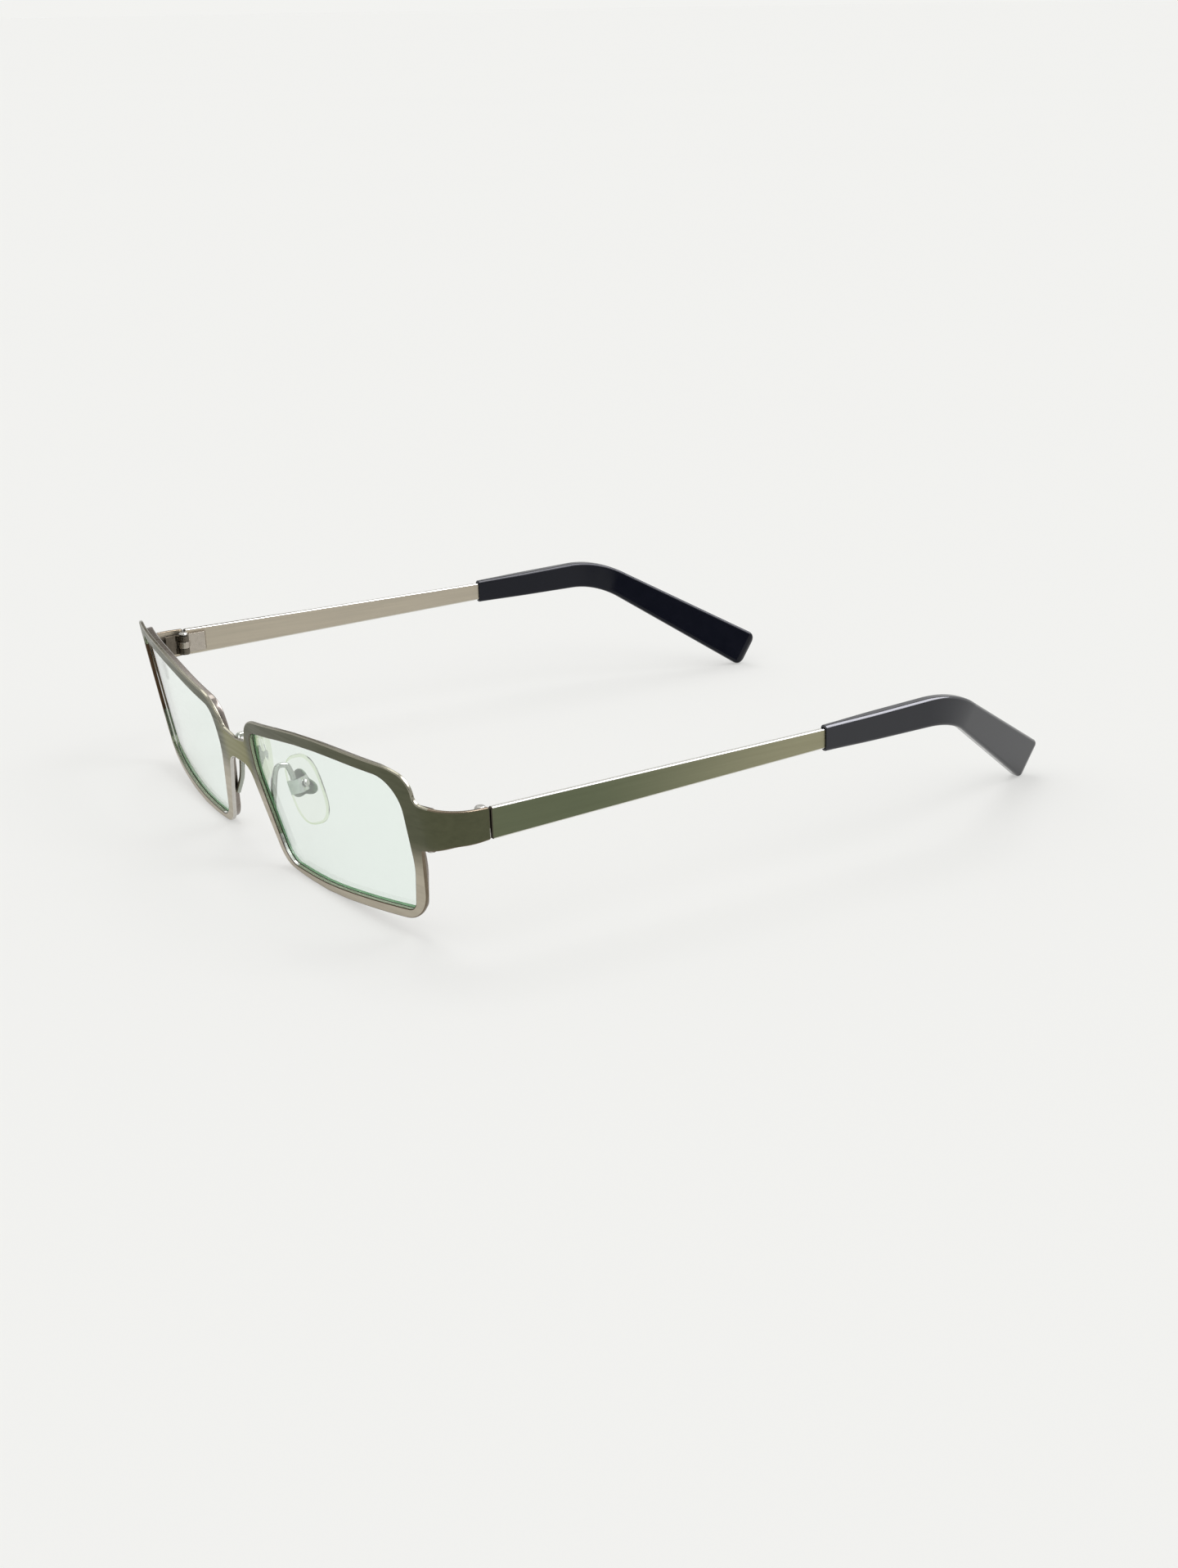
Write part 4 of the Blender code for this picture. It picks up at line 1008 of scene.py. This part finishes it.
def make_pad(side, name):
    """A clear domed oval, the lug behind it and the dark metal insert moulded into it."""
    around = pad_outline()
    away = outward(around)
    back = -PAD_PIVOT
    shape = Shape()
    rows = []
    for k in range(2 * PAD_STEPS + 1):
        angle = pi * k / (2 * PAD_STEPS)
        c, s = cos(angle), sin(angle)
        if k <= PAD_STEPS:
            share = 1 - PAD_EDGE / PAD_WIDTH * 2 * (1 - s)
            x = back - PAD_EDGE * (1 - c)
        else:
            share = PAD_CROWN if k == 2 * PAD_STEPS else s
            x = back - PAD_EDGE - (PAD_THICKNESS - PAD_EDGE) * -c
        ring = []
        for point, out in zip(around, away):
            place = (x, point.x * share - PAD_AHEAD, point.y * share - LUG_RISE)
            ring.append((place, (c, out.x * s, out.y * s)))
        rows.append(shape.row(ring))
    shape.cap(rows[0], (1, 0, 0))
    for k, (here, there) in enumerate(zip(rows, rows[1:])):
        shape.strip(here, there, 1 if 2 <= k <= PAD_STEPS else 0)
    shape.cap(rows[-1], (-1, 0, 0))
    axes = FRONT @ pad_turn(side)
    pad = shape.make(name + "_pad_silicone", axes, ["pad", "pad_rim"], side)
    finish(pad, name + "_pad", "clear_pad", name + "_nose_pad")
    pad.visible_diffuse = False
    metal = ["insert"] * 3
    rows = edge_rows(LUG_LENGTH, LUG_EDGE, SMALL_STEPS)
    shape = slab([lug_outline()], rows, LUG_FILL, sideways(back + LUG_LENGTH))
    lug = shape.make(name + "_pad_lug", axes, metal, side)
    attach(lug, name + "_pad")
    rows = edge_rows(INSERT_THICKNESS, INSERT_EDGE, SMALL_STEPS)
    shape = slab([insert_outline()], rows, INSERT_FILL, sideways(back - INSERT_DEPTH))
    insert = shape.make(name + "_pad_insert", axes, metal, side)
    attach(insert, name + "_pad")


def arm_route():
    """Points that the arm's smooth line passes, from its foot on the eyewire to the back of the box."""
    beside = EYEWIRE_WALL + SOLDER_GAP + ARM_RADIUS
    clear_of_lens = SEAT_FRONT + LENS_THICKNESS + RISE_CLEAR + ARM_RADIUS
    nose = [
        NOSE_HALF + NOSE_BOTTOM_SLANT * (NOSE_KNEE_HEIGHT - z) / (NOSE_KNEE_HEIGHT + OPENING_BOTTOM)
        for z in (ARM_FOOT, ARM_KNEE, ARM_RISE)
    ]
    foot = on_front(nose[0] - beside, EYEWIRE_BACK - ARM_RADIUS, ARM_FOOT)
    knee = on_front(nose[1] - beside, EYEWIRE_BACK + KNEE_BEHIND, ARM_KNEE)
    rise = on_front(nose[2], clear_of_lens, ARM_RISE)
    arch = Vector((ARCH_OUT, ARCH_BEHIND, ARCH_HEIGHT))
    box_back = LUG_LENGTH - PAD_PIVOT + BOX_END_CLEARANCE + BOX_WALL
    top = BOX_HEIGHT / 2 + SOLDER_GAP
    axes = pad_turn(1)
    seat = axes @ Vector((box_back - ARM_RADIUS, 0, top))
    above = axes @ Vector((box_back - ARM_RADIUS, 0, top + ARM_RUN_IN))
    fall = (arch + above) / 2 + Vector((0, FALL_BEHIND, FALL_RISE))
    return [foot, knee, rise, arch, fall, above, seat]


def make_arm(side, name):
    curve = bpy.data.curves.new(name + "_pad_wire", "CURVE")
    set_up(curve, dimensions="3D", resolution_u=10)
    set_up(curve, bevel_depth=ARM_RADIUS * MM, bevel_resolution=5, use_fill_caps=True)
    route = arm_route()
    axes = FRONT @ Matrix.Diagonal((side, 1, 1, 1))
    spline = curve.splines.new("BEZIER")
    spline.bezier_points.add(len(route) - 1)
    for i, (point, place) in enumerate(zip(spline.bezier_points, route)):
        ahead = route[min(i + 1, len(route) - 1)]
        behind = route[max(i - 1, 0)]
        slope = (ahead - behind) / (2 if 0 < i < len(route) - 1 else 1)
        point.co = axes @ place
        point.handle_left = axes @ (place - slope / 3)
        point.handle_right = axes @ (place + slope / 3)
    curve.materials.append(LOOKS["steel"])
    finish(add_object(name + "_pad_wire", curve), "root", "bright_steel", name + "_pad_arm")


# Temples and tips, in hinge axes: x outward, y along the temple, z up the pin, origin on the pin


TEMPLE_START = HINGE_FROM_END + TEMPLE_GAP
TIP_START = TEMPLE_START + TEMPLE_LENGTH


def make_temple(side, name):
    start, end = TEMPLE_START, TIP_START + TEMPLE_IN_TIP
    front, back = TEMPLE_HEIGHT_FRONT / 2, TEMPLE_HEIGHT_BACK / 2
    corners = ((start, -front), (end, -back), (end, back), (start, front))
    outline = rounded([(*corner, SHARP_CORNER) for corner in corners])
    rows = edge_rows(TEMPLE_THICKNESS, TEMPLE_EDGE)
    shape = slab([outline], rows, TEMPLE_FILL, sideways(HINGE_DEPTH))
    seam = BACK + 1
    # Painted shade on the temple's end face in the hinge gap
    shape.recolour((EDGE,), seam, lambda at: at.y < start + GAP_SHADE_DEPTH)
    slots = ["temple_face", "temple_edge", "temple_back", "seam"]
    made = shape.make(name + "_temple_strip", hinge_axes(side), slots, side)
    finish(made, name + "_temple", "gunmetal", name + "_temple_bar")


def tip_frame(drop, turn):
    """Direction along the tip, outward and up, once it has dropped and turned in by these angles."""
    ahead = Vector((0, cos(drop), -sin(drop)))
    up = Vector((0, sin(drop), cos(drop)))
    out = Vector((1, 0, 0))
    return cos(turn) * ahead - sin(turn) * out, cos(turn) * out + sin(turn) * ahead, up


def tip_run():
    """(centre, ahead, outward, up, height, thickness) from the tip's mouth to its end's rounding."""
    drop, turn = radians(TIP_DROP), radians(TIP_TURN_IN)
    place = Vector((HINGE_DEPTH - TEMPLE_THICKNESS / 2, TIP_START + SOLDER_GAP, 0))
    frame_here = tip_frame(0, 0)
    run = []
    for k in range(TIP_STEPS + 1):
        share = k / TIP_STEPS
        gone = TIP_STRAIGHT * share
        height = TIP_HEIGHT_FRONT + (TIP_HEIGHT_BEND - TIP_HEIGHT_FRONT) * share
        swell = min(1.0, gone / TIP_SWELL)
        swell = swell * swell * (3 - 2 * swell)
        thickness = TIP_MOUTH_THICKNESS + (TIP_THICKNESS - TIP_MOUTH_THICKNESS) * swell
        run.append((place + frame_here[0] * gone, *frame_here, height, thickness))
    place = place + frame_here[0] * TIP_STRAIGHT
    arc = TIP_BEND_RADIUS * drop
    for k in range(TIP_STEPS):
        middle, share = (k + 0.5) / TIP_STEPS, (k + 1) / TIP_STEPS
        place = place + tip_frame(drop * middle, turn * middle)[0] * arc / TIP_STEPS
        run.append((place, *tip_frame(drop * share, turn * share), TIP_HEIGHT_BEND, TIP_THICKNESS))
    last = tip_frame(drop, turn)
    straight = TIP_DROP_LENGTH - TIP_END_ROUND - TIP_END_INSIDE
    for k in range(TIP_STEPS):
        share = (k + 1) / TIP_STEPS
        height = TIP_HEIGHT_BEND + (TIP_HEIGHT_END - TIP_HEIGHT_BEND) * share
        run.append((place + last[0] * straight * share, *last, height, TIP_THICKNESS))
    return run


def tip_ring(place, axes, height, thickness, corner, lean):
    """(place, normal) round a section with rounded corners, its normals leaning ahead by an angle."""
    ahead, out, up = axes
    corner = min(corner, TIP_CORNER_SHARE * thickness)
    a, b = thickness / 2 - corner, height / 2 - corner
    found = []
    for quarter, (x, z) in enumerate(((a, b), (-a, b), (-a, -b), (a, -b))):
        for k in range(TIP_CORNER_STEPS + 1):
            angle = radians(90 * quarter + 90 * k / TIP_CORNER_STEPS)
            own = out * cos(angle) + up * sin(angle)
            normal = own * cos(lean) + ahead * sin(lean)
            found.append((place + out * x + up * z + own * corner, normal))
    return found


def tip_sections():
    """What tip_ring takes for each section, out of the mouth's hollow, over its lip and on."""
    run = tip_run()
    place, *axes, height, thickness = run[0]
    ahead = axes[0]
    hollow_height = TEMPLE_HEIGHT_BACK + 2 * TIP_RECESS_GAP
    hollow_thickness = TEMPLE_THICKNESS + 2 * TIP_RECESS_GAP
    found = []
    for depth, grow, lean in ((TIP_RECESS, 0, 1), (HOLLOW_LIP, 0, 1), (0, HOLLOW_LIP, 1.5)):
        size = (hollow_height + grow, hollow_thickness + grow)
        found.append((place + ahead * depth, axes, *size, HOLLOW_CORNER, lean * pi))
    for k in range(TIP_LIP_STEPS + 1):
        angle = radians(90 * k / TIP_LIP_STEPS)
        inset = TIP_LIP * (1 - sin(angle))
        spot = place + ahead * TIP_LIP * (1 - cos(angle))
        size = (height - 2 * inset, thickness - 2 * inset)
        found.append((spot, axes, *size, TIP_EDGE_RADIUS, angle - pi / 2))
    for place, *axes, height, thickness in run[1:]:
        found.append((place, axes, height, thickness, TIP_EDGE_RADIUS, 0.0))
    for k in range(1, TIP_END_STEPS + 1):
        angle = radians(90 * k / TIP_END_STEPS)
        inset = TIP_END_ROUND * (1 - cos(angle))
        spot = place + axes[0] * TIP_END_ROUND * sin(angle)
        found.append((spot, axes, height - 2 * inset, thickness - inset, TIP_EDGE_RADIUS, angle))
    return found


def make_tip(side, name):
    """A gloss black tip with a sleeve mouth round the temple's end."""
    sections = tip_sections()
    shape = Shape()
    rows = [shape.row(tip_ring(*section)) for section in sections]
    # Round a section, the middle of its outer top corner is the bevel, and the inner side reaches
    # from the middle of its inner top corner to the middle of its inner bottom corner
    corner, half = TIP_CORNER_STEPS + 1, TIP_CORNER_STEPS // 2
    around = [0] * (4 * corner)
    around[corner + half : 2 * corner + half] = [1] * corner
    around[half - 2 : half + 3] = [2] * 5
    shape.cap(rows[0], (0, -1, 0))
    for here, there in zip(rows, rows[1:]):
        shape.strip(here, there, around)
    shape.cap(rows[-1], sections[-1][1][0])
    slots = ["black_plastic", "black_inner", "black_bevel"]
    made = shape.make(name + "_ear_tip", hinge_axes(side), slots, side)
    finish(made, name + "_temple", "black_plastic", name + "_temple_tip")


# The solids that stay: their edges are broken and they get a finish


def dress_nodes():
    """Gives each solid its look and breaks its edges, by a width in millimetres."""
    kinds = {
        "lower_closing_block": ("hinge_seat", 0.18),
        "upper_closing_block": ("hinge_seat", 0.18),
        "closing_screw": ("screw", 0.08),
        "pad_box": ("box", 0.12),
        "pad_screw": ("screw", 0.08),
        "hinge_front_leaf": ("hinge_seat", 0.1),
        "hinge_temple_leaf": ("hinge_plate", 0.1),
        "hinge_screw": ("screw", 0.1),
    }
    for side in ("left", "right"):
        for kind, (look, width) in kinds.items():
            made = frame["nodes"][f"{side}_{kind}"]
            made.data.materials.clear()
            made.data.materials.append(LOOKS[look])
            set_up(made.modifiers.new("weld", "WELD"), merge_threshold=1e-6)
            planar = made.modifiers.new("planar", "DECIMATE")
            set_up(planar, decimate_type="DISSOLVE", angle_limit=FLAT_ANGLE)
            edges = made.modifiers.new("edges", "BEVEL")
            set_up(edges, width=width * MM, segments=3, harden_normals=True)
            set_up(edges, limit_method="ANGLE", angle_limit=BROKEN_ANGLE)


# Stage: angles in degrees, round from +X and above the floor


FLOOR_COLOUR = (0.895, 0.895, 0.875)
FLOOR_SIDES = 96
FLOOR_RADIUS = 30.0
SHADOW_LIFT = 0.5
CAMERA_PLACE = (361.64, -119.18, 155.14)
CAMERA_RIGHT = (0.52245338, 0.83509107, -0.17223638)
CAMERA_FORWARD = (-0.80745264, 0.41964522, -0.41463011)
CAMERA_LENS = 51.67
CAMERA_SENSOR = 36.0
CAMERA_CLIP = 0.01
ROOM_COLOUR = (0.83, 0.83, 0.83)
DIM_COLOUR = (0.10, 0.10, 0.11)
DIM_SIDE = (-20, 8)
DIM_OUTER = 42.0
DIM_INNER = 22.0
# Name, direction, angle across and strength
SUNS = (("key", (165, 58), 30, 0.50), ("back", (70, 50), 26, 0.34))
# Name, direction, angles across and up, and light
CARDS = (
    ("tip_card", (65, 50), 50, 40, (7.0, 7.0, 7.6)),
    ("spark_card", (36, 60), 16, 12, (14.0, 14.0, 14.0)),
    ("wall_card", (168, 20), 20, 20, (0.26, 0.24, 0.21)),
)
CARD_DISTANCE = 3.0


def rays(tree, *kinds):
    """One for the rays of the named kinds, and none for the others."""
    found, *others = (add(tree, "LightPath", kind) for kind in kinds)
    for other in others:
        found = add(tree, "Math", "Value", {0: found, 1: other}, operation="MAXIMUM")
    return found


def make_stage():
    """A plain floor, its shadows partly filled where it is seen."""
    turns = [2 * pi * k / FLOOR_SIDES for k in range(FLOOR_SIDES)]
    ring = [(FLOOR_RADIUS * cos(turn), FLOOR_RADIUS * sin(turn), 0) for turn in turns]
    mesh = bpy.data.meshes.new("floor")
    mesh.from_pydata(ring, [], [list(range(FLOOR_SIDES))])
    floor = add_object("floor", mesh)
    made, tree, shader = start_material("floor")
    cloud = streaks(tree, (3, 3, 3), 2.0)
    tint = fainter(FLOOR_COLOUR)
    put(shader, {"Base Color": blend_colours(tree, cloud, FLOOR_COLOUR, tint)})
    put(shader, {"Roughness": 0.9, "Specular IOR Level": 0.0})
    plain = add(tree, "Emission", "Emission", {"Color": (*tint, 1)})
    seen = rays(tree, "Is Camera Ray", "Is Glossy Ray", "Is Transmission Ray")
    lift = add(tree, "Math", "Value", {0: seen, 1: SHADOW_LIFT}, operation="MULTIPLY")
    mix_shaders(tree, lift, shader.outputs["BSDF"], plain)
    mesh.materials.append(made)


def towards(azimuth, height):
    """The direction at an angle round from +X and an angle above the floor, in degrees."""
    azimuth, height = radians(azimuth), radians(height)
    flat = cos(height)
    return Vector((flat * cos(azimuth), flat * sin(azimuth), sin(height)))


def make_world():
    """An even pale room that is dim on the camera's side, and shows as the plain background."""
    world = bpy.data.worlds.new("studio")
    bpy.context.scene.world = world
    world.use_nodes = True
    tree = world.node_tree
    ways = {0: add(tree, "TexCoord", "Generated"), 1: towards(*DIM_SIDE)}
    facing = add(tree, "VectorMath", "Value", ways, operation="DOT_PRODUCT")
    limits = (cos(radians(angle)) for angle in (DIM_OUTER, DIM_INNER))
    dim = share_between(tree, facing, *limits)
    room = blend_colours(tree, dim, ROOM_COLOUR, DIM_COLOUR)
    seen = rays(tree, "Is Camera Ray", "Is Transmission Ray")
    put(tree.nodes["Background"], {"Color": blend_colours(tree, seen, room, FLOOR_COLOUR)})


def make_lights():
    for name, direction, angle, strength in SUNS:
        lamp = bpy.data.lights.new(name, "SUN")
        set_up(lamp, angle=radians(angle), energy=strength)
        holder = add_object(name, lamp)
        holder.rotation_euler = (-towards(*direction)).to_track_quat("-Z", "Y").to_euler()


def make_cards():
    """Bright cards that only gloss shows, for the long highlights on polished metal and plastic."""
    for name, place, across, up, colour in CARDS:
        direction = towards(*place)
        a, b = (CARD_DISTANCE * tan(radians(angle / 2)) for angle in (across, up))
        mesh = bpy.data.meshes.new(name)
        mesh.from_pydata([(-a, -b, 0), (a, -b, 0), (a, b, 0), (-a, b, 0)], [], [(0, 1, 2, 3)])
        made, _, shader = start_material(name)
        strength = max(colour)
        light = (*(part / strength for part in colour), 1)
        put(shader, {"Base Color": (0, 0, 0, 1), "Specular IOR Level": 0.0})
        put(shader, {"Emission Color": light, "Emission Strength": strength})
        mesh.materials.append(made)
        card = add_object(name, mesh)
        card.location = direction * CARD_DISTANCE
        card.rotation_euler = direction.to_track_quat("Z", "Y").to_euler()
        set_up(card, visible_camera=False, visible_diffuse=False)
        set_up(card, visible_transmission=False, visible_shadow=False)


def make_camera():
    """The photo's camera, placed in the front's own axes."""
    camera = bpy.data.cameras.new("camera")
    set_up(camera, lens=CAMERA_LENS, sensor_width=CAMERA_SENSOR, clip_start=CAMERA_CLIP)
    turn = FRONT.to_3x3().normalized()
    right = turn @ Vector(CAMERA_RIGHT)
    back = turn @ -Vector(CAMERA_FORWARD)
    axes = Matrix((right, back.cross(right), back)).transposed().to_4x4()
    holder = add_object("camera", camera)
    holder.matrix_world = Matrix.Translation(FRONT @ Vector(CAMERA_PLACE)) @ axes
    bpy.context.scene.camera = holder


def main():
    make_front()
    for side, name in ((1, "left"), (-1, "right")):
        for make in (make_eyewire, make_lens, make_pad, make_arm, make_temple, make_tip):
            make(side, name)
    dress_nodes()
    make_stage()
    make_world()
    make_lights()
    make_cards()
    make_camera()
    bpy.context.scene.view_settings.view_transform = "Standard"


main()
